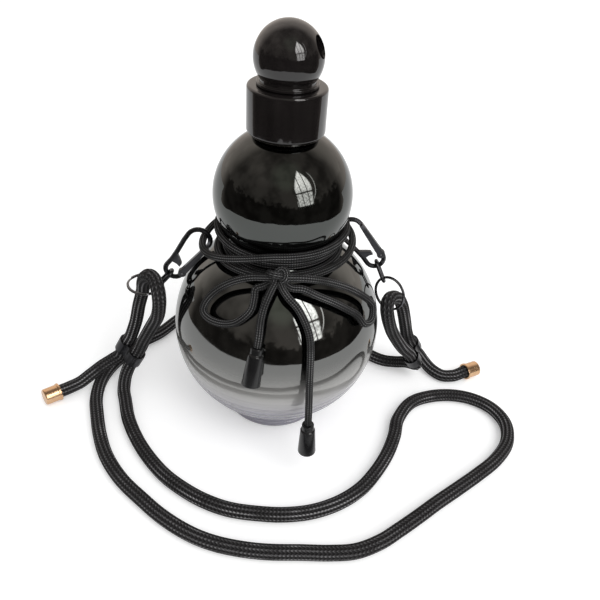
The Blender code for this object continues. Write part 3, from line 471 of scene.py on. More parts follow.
ON_FLOOR = millimetres(
    (-92.6, -15.4), (-87.3, -31), (-79.2, -46.4), (-69.7, -59.9), (-58.6, -72), (-46.6, -81.1),
    (-34.4, -88), (-20.7, -92.8), (-5.3, -94.7), (9.5, -94.8), (24.5, -92.1), (38.4, -86),
    (50.4, -77), (59.6, -65.8), (68.1, -51.8), (74.4, -36.8), (78.6, -22.2), (88.5, -7.8),
    (102.2, -1), (117.3, 0.9), (131, -2.3), (141.7, -10.6), (146.6, -23.6), (143.2, -38.8),
    (132.8, -52.5), (119.1, -64.1), (105.7, -74.3), (92.9, -83.8), (81.1, -93.1), (69.7, -101.7),
    (58.8, -109.3), (45.9, -115), (32.4, -116.6), (17, -116.8), (1.8, -117.1), (-11.8, -116.1),
    (-26.4, -113.3), (-40.1, -108.1), (-55, -99.1), (-67.9, -88.6), (-82, -75.7), (-93.5, -60.6),
    (-101.2, -44.8), (-106.8, -28.8), (-110.8, -14.5), (-111.5, 1), (-108, 15.3), (-101, 28.5),
    (-94.4, 39.8), (-82.6, 51.6), (-73.5, 66), (-65, 77), (-50, 88), (-29, 94), (-6, 92.5),
    (15, 85), (34, 72), (50, 56), (60, 44), (67.5, 36.7), (75.5, 32.5),
)
RIGHT_LANDING = millimetres(
    (83.8, 31.6, 4.1), (90, 29.2, 6.4),
)
RIGHT_ARCH = millimetres(
    (79.7, 9.5, 37), (71.6, 4, 51.8), (67.5, -1.2, 62.5), (64.8, -4.9, 71.3), (63.5, -4.9, 77.1),
    (64, -1.9, 80), (66.6, 2.8, 79.6), (70.9, 7, 76.5), (74.4, 9.7, 71.2), (77, 11.6, 64.1),
    (80.3, 15.2, 52.9), (83.6, 19.6, 41.2),
)
RIGHT_TIP = millimetres(
    (99, 32.2, 11), (102.8, 30.8, 6.5), (106.4, 27, 4.2), (110, 22.5, 4), (114.5, 19.5, 4),
    (120.9, 19.4, 4.4), (124.4, 20.3, 5), (127.8, 21.8, 5.6), (131.2, 23.4, 5.7),
    (134.6, 25, 5.8),
)
ARCH_TOP = 5

LEFT_SLEEVE = ((-0.0918, 0.0059, 0.0265), (-0.457, 0.050, -0.888), (-0.663, 0.647, 0.378))
RIGHT_SLEEVE = ((0.0907, 0.0217, 0.0226), (0.420, 0.390, -0.820), (0.250, 0.960, 0.000))
SLEEVE_RUN_SHARES = (-1.15, -0.85, 0.0, 0.85, 1.15)


def through_sleeve(placing, bore, way):
    """Middle + side * half the pitch + axis * length * each share, read in the given order."""
    middle, axis, side = (np.array(v, float) for v in placing)
    axis = unit(axis)
    side = square_to(axis, side)
    shares = np.array(SLEEVE_RUN_SHARES)[::way, None]
    return middle + side * SLEEVE_PITCH / 2 * bore + axis * SLEEVE_LENGTH * shares


strap_route = np.vstack([
    LEFT_TIP, through_sleeve(LEFT_SLEEVE, 1, -1), LEFT_ARCH, through_sleeve(LEFT_SLEEVE, -1, 1),
    LEFT_LANDING, np.insert(ON_FLOOR, 2, STRAP_DIAMETER / 2, axis=1), RIGHT_LANDING,
    through_sleeve(RIGHT_SLEEVE, -1, -1), RIGHT_ARCH, through_sleeve(RIGHT_SLEEVE, 1, 1), RIGHT_TIP,
])
strap_line = smooth_line(strap_route, STRAP_STEP)
print(f"strap: {length_of(strap_line):.4f} m on {len(strap_line)} rings")

# %% [markdown]
# ## Three lengths of one braid
# As a load the strap is three cords: a tail from each ring to its metal end, and the long run
# from ring to ring. All three are cut from one grid of rings, at the tops of the two arches,
# and neighbours share their last ring, so no joint shows.

# %% The strap
STRAP_SEGMENTS = 60
strap_skin = plaited(STRAP_DIAMETER, PLAITS, STRAP_GROOVE)
strap_rings, strap_along = tube_rings(strap_line, strap_skin, STRAP_SEGMENTS)


def nearest_row(point):
    """Row of the strap's line that lies nearest to the point."""
    return int(np.linalg.norm(strap_line - point, axis=1).argmin())


left_top, right_top = nearest_row(LEFT_ARCH[ARCH_TOP]), nearest_row(RIGHT_ARCH[ARCH_TOP])
strap_cuts = {
    "strap_tail_left": slice(0, left_top + 1),
    "strap_run": slice(left_top, right_top + 1),
    "strap_tail_right": slice(right_top, len(strap_line)),
}
strap_pieces = {}
for name, cut in strap_cuts.items():
    grid, along = capped(strap_rings[cut], strap_along[cut])
    piece = skin(name, grid, along)
    strap_pieces[name] = dress(piece, STRAP_BRAID, "strap_cord", "shoulder_strap")

# %% [markdown]
# ## The bow
# The waist cord ends in a bow at the front: two drooping loops and two tails with bell-shaped
# ends, all tied into the knot. They are the same tube as the strap, with finer plaits.

# %% The bow's loops and tails
CORD_DIAMETER = 0.0040
CORD_GROOVE = 0.09
CORD_SEGMENTS = 42
FINE_STEP = 0.0005
INTO_KNOT = 0.55
LEFT_LOOP = millimetres(
    (-7.5, -40.5, 119.5), (-14.5, -40.4, 119), (-22.5, -38.5, 115), (-30.5, -36.5, 108.5),
    (-36.5, -36.5, 101), (-38.3, -38.5, 95.5), (-35, -42.5, 93.5), (-28.7, -46, 93.5),
    (-22.1, -48, 95.5), (-17.1, -47.8, 99), (-13, -46.8, 104), (-11.8, -44, 109),
    (-11.2, -41.5, 113), (-7.5, -40.5, 114.2),
)
RIGHT_LOOP = millimetres(
    (6.6, -40.7, 119.8), (14, -40.2, 119.6), (24, -36.5, 116), (36, -30.5, 108.5),
    (46.5, -25, 99), (51.5, -23.5, 92.5), (51, -29, 87), (46.5, -34.5, 88.5), (42, -35, 94.5),
    (36.5, -37.5, 99.5), (29, -39.5, 105), (20, -41, 110), (12.5, -41.2, 113.8),
    (6.6, -41, 114.2),
)
LEFT_TAIL = millimetres(
    (-3.5, -44.8, 115), (-5.2, -47.8, 112), (-6.8, -50.3, 108), (-8, -53, 102), (-8.6, -56.9, 95),
    (-9.3, -58.5, 89.5),
)
RIGHT_TAIL = millimetres(
    (2.5, -44.8, 115), (5.5, -47.5, 112.2), (10, -49, 107.5), (14, -51.5, 101), (16.8, -54.5, 94),
    (17.7, -57.5, 86), (18, -60, 77), (18.2, -62, 68), (18.6, -63.5, 59), (19, -64, 49),
    (19.2, -64, 41.5),
)
CORD_SKIN = plaited(CORD_DIAMETER, PLAITS, CORD_GROOVE)
KNOT_BOX = [np.array(corner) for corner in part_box("bow_knot")]


def tied(points, ends):
    """The line through the points, carried on from each named end into the knot: the share
    INTO_KNOT of the way from that end to the knot's middle."""
    middle = (KNOT_BOX[0] + KNOT_BOX[1]) / 2
    inner = points[ends] + (middle - points[ends]) * INTO_KNOT
    return smooth_line(np.vstack([inner[:1], points, inner[1:]]), FINE_STEP)


bow_lines = {
    "bow_loop_left": tied(LEFT_LOOP, [0, -1]),
    "bow_loop_right": tied(RIGHT_LOOP, [0, -1]),
    "bow_tail_left": tied(LEFT_TAIL, [0]),
    "bow_tail_right": tied(RIGHT_TAIL, [0]),
}
bow_pieces = {}
for node, line in bow_lines.items():
    grid, along = capped(*tube_rings(line, CORD_SKIN, CORD_SEGMENTS))
    piece = skin(node.replace("bow_", "cord_"), grid, along)
    bow_pieces[node] = dress(piece, WAIST_BRAID, "waist_cord", node)

# %% [markdown]
# ## The winding round the waist
# The cord goes five times round. Four turns lie in the groove between the bulbs, and the fifth
# is drawn out at each side through the eye of a clip. A helix would cut into the glass. So the
# winding is given by stations: the turns made, how far out the cord lies beyond its resting
# place on the glass, and how high, both in cord diameters. A cubic joins them.

# %% The glass that the cord rests on
def leg(slant, other):
    """A right triangle's leg, sqrt(slant^2 - other^2), and nought where the other is longer."""
    return np.sqrt(np.maximum(slant**2 - other**2, 0.0))


LOWER_RADIUS = 0.0597
UPPER_RADIUS = 0.0365
WAIST_RADIUS = 0.0234
WAIST_FILLET = 0.006
LOWER_LIFT = 0.0025
CLEARANCE = 0.0003
LOWER_CENTRE = LOWER_RADIUS + LOWER_LIFT
WAIST_HEIGHT = LOWER_CENTRE + leg(LOWER_RADIUS, WAIST_RADIUS)
UPPER_CENTRE = WAIST_HEIGHT + leg(UPPER_RADIUS, WAIST_RADIUS)
CORD_REST = CORD_DIAMETER / 2 + CLEARANCE


def fillet_centre():
    """Middle of the circle that touches both bulbs: it lies a bulb's radius plus its own from
    each bulb's middle, and the two right triangles on the axis give its place."""
    low, high = LOWER_RADIUS + WAIST_FILLET, UPPER_RADIUS + WAIST_FILLET
    apart = UPPER_CENTRE - LOWER_CENTRE
    rise = (apart**2 + low**2 - high**2) / (2 * apart)
    return leg(low, rise), LOWER_CENTRE + rise


FILLET_OUT, FILLET_HEIGHT = fillet_centre()


def rest_radius(height):
    """The largest of three: the root of (bulb radius + rest)^2 - (height - bulb's middle)^2 for
    each bulb, and the fillet's inner side, drawn in by the same rest."""
    lower = leg(LOWER_RADIUS + CORD_REST, height - LOWER_CENTRE)
    upper = leg(UPPER_RADIUS + CORD_REST, height - UPPER_CENTRE)
    inner = leg(WAIST_FILLET - CORD_REST, height - FILLET_HEIGHT)
    hollow = np.where(inner > 0.0, FILLET_OUT - inner, 0.0)
    return np.maximum(np.maximum(lower, upper), hollow)


print(f"waist at {WAIST_HEIGHT:.4f} m, cord's middle {float(rest_radius(WAIST_HEIGHT)):.4f} m out")

# %% The winding
KNOT_WIDTH = 0.013
KNOT_SIDE = -0.0005
WINDING_STEP = 0.0011
WINDING_SAMPLES = 1200
WINDING_SHARES = (
    (0.00, 2.00, 0.10), (0.25, 0.06, -0.73), (0.50, 0.06, -0.42), (1.00, 0.06, -0.42),
    (1.25, 0.06, 0.145), (1.50, 0.06, 0.70), (2.00, 0.06, 0.70), (2.25, 0.06, 1.245),
    (2.50, 0.06, 1.70), (3.00, 0.06, 1.70), (3.25, 0.06, 2.30), (3.50, 0.06, 2.74),
    (4.00, 0.10, 2.78), (4.25, 2.24, -0.71), (4.50, 1.80, 0.90), (4.70, 2.36, 0.72),
    (5.00, 2.00, 0.15),
)


def through_stations(turns, rows, at):
    """Cubic between neighbours. The slope at a station is the mean of the two slopes beside it,
    the shorter side's weighing more, and nought where these two have different signs."""
    width = np.diff(turns)
    steep = np.diff(rows, axis=0) / width[:, None]
    before, after = steep[:-1], steep[1:]
    mean = (before * width[1:, None] + after * width[:-1, None]) / (width[:-1] + width[1:])[:, None]
    flat = np.zeros((1, 2))
    slope = np.vstack([flat, np.where(before * after > 0, mean, 0.0), flat])
    k = np.clip(np.searchsorted(turns, at, side="right") - 1, 0, len(turns) - 2)
    f, w = ((at - turns[k]) / width[k])[:, None], width[k][:, None]
    return (
        (2 * f**3 - 3 * f**2 + 1) * rows[k] + (f**3 - 2 * f**2 + f) * slope[k] * w
        + (3 * f**2 - 2 * f**3) * rows[k + 1] + (f**3 - f**2) * slope[k + 1] * w
    )


def winding_line(step):
    """At each share of a turn: (-r sin, -r cos, height), so that it starts at the front and
    goes round by way of the left."""
    stations = np.array(WINDING_SHARES)
    heights = WAIST_HEIGHT + stations[:, 2] * CORD_DIAMETER
    rows = np.column_stack([rest_radius(heights) + stations[:, 1] * CORD_DIAMETER, heights])
    half = KNOT_WIDTH / 2 + 2 * CLEARANCE
    start = (half - KNOT_SIDE) / rows[0, 0] / TURN
    stop = stations[-1, 0] - (half + KNOT_SIDE) / rows[-1, 0] / TURN
    at = np.linspace(start, stop, WINDING_SAMPLES)
    radius, height = through_stations(stations[:, 0], rows, at).T
    radius = np.maximum(radius, rest_radius(height))
    return spaced(np.column_stack([
        -radius * np.sin(at * TURN), -radius * np.cos(at * TURN), height
    ]), step)


waist_line = winding_line(WINDING_STEP)
grid, along = capped(*tube_rings(waist_line, CORD_SKIN, CORD_SEGMENTS))
dress(skin("cord_winding", grid, along), WAIST_BRAID, "waist_cord", "waist_cord_winding")
print(f"winding: {length_of(waist_line):.4f} m")

# %% [markdown]
# ## The knot
# A lump with a bump map would look like clay, so the knot is a real knotted line, the trefoil:
# it winds twice round an axis while it rises and falls three times.

# %% The knot
KNOT_SAMPLES = 400
KNOT_SEGMENTS = 36


def trefoil(step):
    """(sin t + 2 sin 2t, -sin 3t, cos t - 2 cos 2t), stretched to fill the knot's box with half
    a cord left free all round."""
    t = np.linspace(0.0, TURN, KNOT_SAMPLES)
    path = np.column_stack([
        np.sin(t) + 2 * np.sin(2 * t), -np.sin(3 * t), np.cos(t) - 2 * np.cos(2 * t)
    ])
    low, high = path.min(axis=0), path.max(axis=0)
    inset = CORD_DIAMETER / 2
    room = KNOT_BOX[1] - KNOT_BOX[0] - 2 * inset
    return spaced(KNOT_BOX[0] + inset + (path - low) / (high - low) * room, step)


grid, along = tube_rings(trefoil(FINE_STEP)[:-1], CORD_SKIN, KNOT_SEGMENTS)
dress(skin("cord_knot", grid, along, ring=True), WAIST_BRAID, "waist_cord", "bow_knot")

# %% [markdown]
# ## Turned pieces
# The glass, the collar, the stopper, the bells and the end caps are profiles spun about an
# axis. A profile is a list of radius and height, and each corner is rounded by a short
# parabola, because a real edge always catches a line of light.

# %% Spinning a profile
def arc(centre, radius, start, end, step=math.radians(2.0)):
    """Centre + radius * (cos, sin) of even angles from start to end."""
    angle = np.linspace(start, end, max(3, int(abs(end - start) / step) + 2))
    return np.column_stack([centre[0] + radius * np.cos(angle), centre[1] + radius * np.sin(angle)])


MOST_OF_SIDE = 0.45


def rounded(corners, reach, steps=6):
    """Each inner corner p becomes (1-t)^2 a + 2t(1-t) p + t^2 b, where a and b lie on its two
    sides, its reach away, or just under half a side where that is less."""
    p = np.array(corners, float)
    reach = np.broadcast_to(np.asarray(reach, float), len(p))
    back, ahead = p[:-2] - p[1:-1], p[2:] - p[1:-1]
    near = np.minimum(np.linalg.norm(back, axis=1), np.linalg.norm(ahead, axis=1))
    cut = np.minimum(reach[1:-1], near * MOST_OF_SIDE)[:, None]
    a, b = p[1:-1] + unit(back) * cut, p[1:-1] + unit(ahead) * cut
    t = np.linspace(0.0, 1.0, steps)[None, :, None]
    bend = (1 - t) ** 2 * a[:, None] + 2 * t * (1 - t) * p[1:-1][:, None] + t**2 * b[:, None]
    return np.vstack([p[:1], bend.reshape(-1, 2), p[-1:]])


def thinned(profile, least=1e-5):
    """The profile without points that lie on the one before."""
    gap = np.linalg.norm(np.diff(profile, axis=0), axis=1)
    return profile[np.concatenate([[True], gap > least])]


def spun(name, profile, segments, ring=False, origin=(0, 0, 0), axis=(0, 0, 1)):
    """Origin + radius * (cos(turn) * side + sin(turn) * up) + height * axis."""
    profile = thinned(np.asarray(profile, float))
    axis = unit(np.array(axis, float))
    rough = np.array([1.0, 0.0, 0.0]) if abs(axis[0]) < STEEP else np.array([0.0, 1.0, 0.0])
    side = square_to(axis, rough)
    above = np.cross(axis, side)
    turn = np.arange(segments) * TURN / segments
    rim = np.cos(turn)[:, None] * side + np.sin(turn)[:, None] * above
    grid = profile[:, 0, None, None] * rim[None] + profile[:, 1, None, None] * axis
    return skin(name, np.array(origin, float) + grid, ring=ring)


# %% [markdown]
# ## The glass
# The bottle is blown in two bulbs over a thick foot. Its outer skin is two spheres joined by a
# fillet at the waist, and the inside is the same line drawn in by the wall. One closed profile
# goes up the outside, over the lip and down the inside, so the glass has real thickness.

# %% The bottle
FOOT_RADIUS = 0.0306
FOOT_EDGE = 0.004
GLASS_WALL = 0.0024
BASE_THICKNESS = 0.0105
INNER_FLOOR_RADIUS = 0.018
INNER_FLOOR_BLEND = 0.030
NECK_RADIUS = 0.0155
NECK_WALL = 0.004
NECK_HEIGHT = 0.0218
LIP_EDGE = 0.0012
FOOT_ARC_STEP = math.radians(8.0)
GLASS_SEGMENTS = 200
NECK_FOOT = UPPER_CENTRE + leg(UPPER_RADIUS, NECK_RADIUS)
LIP_HEIGHT = NECK_FOOT + NECK_HEIGHT
BORE_RADIUS = NECK_RADIUS - NECK_WALL


def bulbs(wall, foot_radius, top_radius):
    """Lower sphere, waist fillet and upper sphere as three arcs from the foot to the neck, each
    drawn in by the wall. The arcs meet where the line between two middles crosses them."""
    lower, upper, fillet = LOWER_RADIUS - wall, UPPER_RADIUS - wall, WAIST_FILLET + wall
    to_lower = math.atan2(FILLET_HEIGHT - LOWER_CENTRE, FILLET_OUT)
    to_upper = math.atan2(FILLET_HEIGHT - UPPER_CENTRE, FILLET_OUT)
    return np.vstack([
        arc((0.0, LOWER_CENTRE), lower, -math.acos(foot_radius / lower), to_lower),
        arc((FILLET_OUT, FILLET_HEIGHT), fillet, to_lower - math.pi, to_upper - math.pi),
        arc((0.0, UPPER_CENTRE), upper, to_upper, math.acos(top_radius / upper)),
    ])


outside = np.vstack([
    [(0.0, 0.0)],
    arc((FOOT_RADIUS - FOOT_EDGE, FOOT_EDGE), FOOT_EDGE, -math.pi / 2, 0.0, FOOT_ARC_STEP),
    bulbs(0.0, FOOT_RADIUS, NECK_RADIUS),
])
lip = rounded([
    (NECK_RADIUS, NECK_FOOT), (NECK_RADIUS, LIP_HEIGHT), (BORE_RADIUS, LIP_HEIGHT),
    (BORE_RADIUS, NECK_FOOT),
], LIP_EDGE)
inside = np.vstack([
    bulbs(GLASS_WALL, INNER_FLOOR_BLEND, BORE_RADIUS)[::-1],
    [(INNER_FLOOR_RADIUS, BASE_THICKNESS), (0.0, BASE_THICKNESS)],
])
bottle = spun("bottle_glass", np.vstack([outside, lip, inside]), GLASS_SEGMENTS)
print("bottle is", round(LIP_HEIGHT * 1000, 1), "mm high to its lip")

# %% [markdown]
# ## Mirror-dark glass
# The glass carries a smoked metal coat that mirrors the room, darker towards the neck, and
# fades out towards the thick foot. Plain black plastic would reflect only at its rim. So the
# coat is a metal whose colour is the share of light it gives back, which falls with height,
# and a Mix Shader fades it into clear glass, with a violet-grey tint and turned rings near the
# foot. Above the foot this glass is painted nearly white: painted light for the white seen
# through the glass. Blown glass is never quite even, so a slow, shallow bump bends the
# reflections a little.

# %% The coated glass
MIRROR = (
    (0.06, (0.62, 0.61, 0.65)), (0.17, (0.42, 0.42, 0.41)), (0.27, (0.20, 0.20, 0.195)),
    (0.50, (0.150, 0.156, 0.152)), (0.68, (0.098, 0.104, 0.100)), (1.0, (0.070, 0.070, 0.067)),
)
MIRROR_TOP = 0.2
RINGS_AT_ONE_METRE = 65.0
RINGS_FADE, TINT_RISE, COAT_RISE = (0.030, 0.056), (0.034, 0.060), (0.022, 0.076)
# The clear tint is nearly white: painted light for the white seen through the glass.
FOOT_TINT, PAINTED_SEE_THROUGH_TINT, RING_TINT = (0.38, 0.37, 0.43), (0.93, 0.92, 0.885), (0.16, 0.15, 0.19)


def coated_glass():
    """The coat's colours stand at shares of the height MIRROR_TOP. The turned rings are the wave
    of 65 * the root of the height, so they widen on the way up. They fade out first, then the
    clear glass goes from its violet-grey tint to a painted near-white that stands in for the
    white seen through it, and the coat closes over it."""
    look, shader, place = new_look("coated_glass")
    height = parts_of(place)[2]
    rings = (height**0.5 * RINGS_AT_ONE_METRE).wave()
    near_foot = 1.0 - height.between(*RINGS_FADE)
    shallow = place.noise(38.0, 1.0) * 0.5 + rings * near_foot * 0.5
    set_look(
        shader, Base_Color=place.node("ValToRGB", {0: height / MIRROR_TOP}, stops=MIRROR),
        Metallic=1.0, Roughness=0.035 + place.noise(22.0, 3.0).between(0.45, 0.8) * 0.07,
        Normal=shallow.bump(0.40, 0.0005),
    )
    # Painted light: above the foot the clear glass turns nearly white, for the white seen through
    # it.
    tint_with_painted_see_through = height.between(*TINT_RISE).blend(FOOT_TINT, PAINTED_SEE_THROUGH_TINT)
    tint_with_painted_see_through = (rings.between(0.4, 1.0) * near_foot * 0.5).blend(tint_with_painted_see_through, RING_TINT)
    clear = place.node("BsdfPrincipled", {
        "Base Color": tint_with_painted_see_through, "Roughness": 0.06, "Transmission Weight": 0.12, "IOR": 1.5,
        "Normal": (rings * near_foot).bump(0.8, 0.0005),
    })
    coat = Flow(look.node_tree, shader.outputs[0])
    return surface(look, height.between(*COAT_RISE), clear, coat)


dress(bottle, coated_glass(), "smoked_glass", "bottle_body")

# %% [markdown]
# ## Collar and stopper
# A black collar is pressed over the neck, and a ball stopper with a plug and two soft seals
# closes it. Both are spun. The cord hole runs across the ball's axis, where no profile could
# give it, so it is drilled with a Boolean, and the result is kept as a plain mesh.

# %% Black gloss
GLOSS_BLACKS = ((0.006, 0.005, 0.005), (0.010, 0.0085, 0.0085))


def black_gloss():
    """Nearly black, with a haze that dulls the gloss here and there, under a thin clear coat."""
    look, shader, place = new_look("black_gloss_coat")
    haze = place.noise(45.0, 4.0)
    set_look(
        shader, Base_Color=haze.between(0.3, 0.8).blend(*GLOSS_BLACKS),
        Roughness=0.05 + haze.between(0.4, 0.8) * 0.06, IOR=1.58, Coat_Weight=0.2,
        Coat_Roughness=0.03, Normal=place.noise(700.0, 2.0).bump(0.12, 0.00005),
    )
    return look


GLOSS = black_gloss()
print("finish:", GLOSS.name)

# %% The collar
COLLAR_RADIUS = 0.0195
COLLAR_TOP_THICKNESS = 0.0019
COLLAR_SKIRT = 0.0017
COLLAR_BEVEL_RISE = 0.0021
COLLAR_HOLE_RADIUS = 0.012
COLLAR_EDGES = (0.0, 0.0015, 0.0004, 0.0002, 0.0002, 0.0003, 0.0004, 0.0006, 0.0)
BLACK_SEGMENTS = 128
COLLAR_TOP = LIP_HEIGHT + CLEARANCE + COLLAR_TOP_THICKNESS
collar_bore = NECK_RADIUS + CLEARANCE
collar_foot = UPPER_CENTRE + leg(UPPER_RADIUS, collar_bore) + CLEARANCE
under = LIP_HEIGHT + CLEARANCE
middle_height = (collar_foot + COLLAR_TOP) / 2
collar_profile = rounded([
    (COLLAR_RADIUS, middle_height), (COLLAR_RADIUS, COLLAR_TOP), (COLLAR_HOLE_RADIUS, COLLAR_TOP),
    (COLLAR_HOLE_RADIUS, under), (collar_bore, under), (collar_bore, collar_foot),
    (collar_bore + COLLAR_SKIRT, collar_foot), (COLLAR_RADIUS, collar_foot + COLLAR_BEVEL_RISE),
    (COLLAR_RADIUS, middle_height),
], COLLAR_EDGES)[:-1]
collar = spun("collar", collar_profile, BLACK_SEGMENTS, ring=True)
dress(collar, GLOSS, "black_gloss", "neck_collar")

# %% The stopper
BALL_RADIUS = 0.01664
BALL_NECK_RADIUS = 0.0137
BALL_NECK_HEIGHT = 0.0015
FLANGE_RADIUS = 0.0150
FLANGE_THICKNESS = 0.0015
PLUG_RADIUS = 0.0106
PLUG_LENGTH = 0.0185
SEAL_GROOVE_DEPTH = 0.0017
SEAL_GROOVE_HEIGHT = 0.0028
UPPER_SEAL_DEPTH = 0.0085
SEAL_SPACING = 0.0055
BALL_HOLE_RADIUS = 0.005
BALL_HOLE_RISE = 0.0062
BALL_HOLE_TURN = math.radians(-16)
HOLE_DRILL_REACH = 0.02
DRILL_SEGMENTS = 64
DRILLED_CREASE = 30.0
STOPPER_EDGE = 0.0004
FLANGE_FOOT = COLLAR_TOP + CLEARANCE
FLANGE_TOP = FLANGE_FOOT + FLANGE_THICKNESS
BALL_CENTRE = FLANGE_TOP + BALL_NECK_HEIGHT + leg(BALL_RADIUS, BALL_NECK_RADIUS)


def stopper_profile():
    """From the plug's foot up its side with two grooves, over the flange, then the ball's arc."""
    foot = FLANGE_FOOT - PLUG_LENGTH
    groove = PLUG_RADIUS - SEAL_GROOVE_DEPTH
    corners = [(0.0, foot), (PLUG_RADIUS, foot)]
    for k in (1, 0):
        seal = FLANGE_FOOT - UPPER_SEAL_DEPTH - k * SEAL_SPACING
        low, high = seal - SEAL_GROOVE_HEIGHT / 2, seal + SEAL_GROOVE_HEIGHT / 2
        corners += [(PLUG_RADIUS, low), (groove, low), (groove, high), (PLUG_RADIUS, high)]
    corners += [
        (PLUG_RADIUS, FLANGE_FOOT), (FLANGE_RADIUS, FLANGE_FOOT), (FLANGE_RADIUS, FLANGE_TOP),
        (BALL_NECK_RADIUS, FLANGE_TOP), (BALL_NECK_RADIUS, FLANGE_TOP + BALL_NECK_HEIGHT),
    ]
    start = math.asin(BALL_NECK_RADIUS / BALL_RADIUS) - math.pi / 2
    return np.vstack([
        rounded(corners, STOPPER_EDGE), arc((0.0, BALL_CENTRE), BALL_RADIUS, start, math.pi / 2),
    ])


def drilled(piece, drill, name):
    """The piece less the drill, as a plain mesh under a new name."""
    cut = piece.modifiers.new("drill", "BOOLEAN")
    cut.operation, cut.solver, cut.object = "DIFFERENCE", "EXACT", drill
    graph = bpy.context.evaluated_depsgraph_get()
    mesh = bpy.data.meshes.new_from_object(piece.evaluated_get(graph), depsgraph=graph)
    for used in (piece, drill):
        bpy.data.objects.remove(used)
    shade(mesh, DRILLED_CREASE)
    return put(name, mesh)


hole_way = (math.cos(BALL_HOLE_TURN), math.sin(BALL_HOLE_TURN), 0.0)
hole_profile = [(across, HOLE_DRILL_REACH * end) for across, end in (
    (0.0, -1), (BALL_HOLE_RADIUS, -1), (BALL_HOLE_RADIUS, 1), (0.0, 1),
)]
hole_middle = (0, 0, BALL_CENTRE + BALL_HOLE_RISE)
drill = spun("hole_drill", hole_profile, DRILL_SEGMENTS, origin=hole_middle, axis=hole_way)
blank = spun("stopper_blank", stopper_profile(), BLACK_SEGMENTS)
stopper = drilled(blank, drill, "stopper")
dress(stopper, GLOSS, "black_gloss", "stopper_ball", body="stopper")

# %% [markdown]
# ## Pieces kept from the model
# Seals, clips, gates, pins and sleeves have their true shapes in the model, but would shade as
# flats. Each is copied, merged and smoothed, and a narrow bevel gives metal edges their light.

# %% Refining a node
REFINED_CREASE = 38.0
MERGE_WITHIN = 2e-6
FLAT_WITHIN = math.radians(0.5)


def kept(node, name, look, slot, bevel=0.0, body="bottle"):
    """The node's mesh merged at shared points, smooth below the crease angle, edges bevelled,
    and dressed under a name of its own."""
    merged = bmesh.new()
    merged.from_mesh(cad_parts[node].data)
    bmesh.ops.remove_doubles(merged, verts=merged.verts, dist=MERGE_WITHIN)
    bmesh.ops.dissolve_limit(merged, angle_limit=FLAT_WITHIN, verts=merged.verts,
                             edges=merged.edges)
    mesh = bpy.data.meshes.new(name)
    merged.to_mesh(mesh)
    merged.free()
    shade(mesh, REFINED_CREASE)
    piece = put(name, mesh)
    if bevel:
        edge = piece.modifiers.new("edge", "BEVEL")
        edge.width, edge.segments, edge.limit_method = bevel, 2, "ANGLE"
        edge.angle_limit = math.radians(REFINED_CREASE)
        edge.harden_normals = True
    return dress(piece, look, slot, node, body=body)


SEAL_GREYS = ((0.62, 0.63, 0.66), (0.75, 0.76, 0.78))


def soft_seal():
    """Cloudy, pale silicone that lets a little light in."""
    look, shader, place = new_look("clear_silicone")
    cloud = place.noise(300.0, 3.0)
    set_look(shader, Base_Color=cloud.blend(*SEAL_GREYS),
             Roughness=0.35 + cloud * 0.2, Subsurface_Weight=0.2, Normal=cloud.bump(0.2, 0.00005))
    return look


SILICONE = soft_seal()
for level in ("upper", "lower"):
    kept(f"stopper_seal_{level}", f"seal_{level}", SILICONE, "clear_silicone", body="stopper")

# %% [markdown]
# ## Bells and end caps
# Each tail of the bow ends in a black plastic bell, and each end of the strap in a rose gold
# ferrule with a raised ring at its mouth. Both are spun about the way their cord arrives.

# %% Plastic and rose gold
PLASTIC_BLACKS = ((0.004, 0.004, 0.0045), (0.009, 0.009, 0.0095))
ROSE_GOLDS = ((0.70, 0.42, 0.23), (0.86, 0.60, 0.38))
TURNING_PITCH = 0.00022


def satin_plastic():
    """Black plastic with a fine grain, its gloss a little uneven."""
    look, shader, place = new_look("satin_plastic")
    marks = place.noise(120.0, 4.0)
    set_look(shader, Base_Color=marks.blend(*PLASTIC_BLACKS),
             Roughness=0.15 + marks * 0.12, Normal=place.noise(1400.0, 2.0).bump(0.25, 0.00004))
    return look


def rose_gold():
    """The fine turning lines are a wave of the metres along the profile."""
    look, shader, place = new_look("rose_gold")
    lines = (parts_of(place.node("UVMap"))[1] / TURNING_PITCH).wave()
    marks = place.noise(260.0, 4.0)
    set_look(shader, Base_Color=marks.blend(*ROSE_GOLDS), Metallic=1.0,
             Roughness=0.16 + marks * 0.14, Normal=lines.bump(0.15, 0.00003))
    return look


PLASTIC, ROSE_GOLD = satin_plastic(), rose_gold()
print("finishes:", PLASTIC.name, ROSE_GOLD.name)

# %% The bells
BELL_LENGTH = 0.021
BELL_TOP_RADIUS = 0.0033
BELL_WAIST_RADIUS = 0.0040
BELL_MOUTH_RADIUS = 0.0050
BELL_COLLAR = 0.0035
BELL_STEP = 0.0006
BELL_HOLLOW = 0.006
BELL_WALL = 0.0012
BELL_EDGE = 0.0005
BELL_SEGMENTS = 72
bell_profile = rounded([
    (0.0, BELL_HOLLOW - BELL_LENGTH), (BELL_WAIST_RADIUS - BELL_WALL, BELL_HOLLOW - BELL_LENGTH),
    (BELL_MOUTH_RADIUS - BELL_WALL, -BELL_LENGTH), (BELL_MOUTH_RADIUS, -BELL_LENGTH),
    (BELL_WAIST_RADIUS, -BELL_COLLAR - BELL_STEP), (BELL_TOP_RADIUS, -BELL_COLLAR),
    (BELL_TOP_RADIUS, 0.0), (0.0, 0.0),
], BELL_EDGE)
bells = {}
for side, route in (("left", LEFT_TAIL), ("right", RIGHT_TAIL)):
    down = unit(route[-1] - route[-2])
    top = route[-1] + down * CLEARANCE
    piece = spun(f"bell_{side}", bell_profile, BELL_SEGMENTS, origin=top, axis=-down)
    bells[side] = dress(piece, PLASTIC, "bell_plastic", f"tail_bell_{side}")

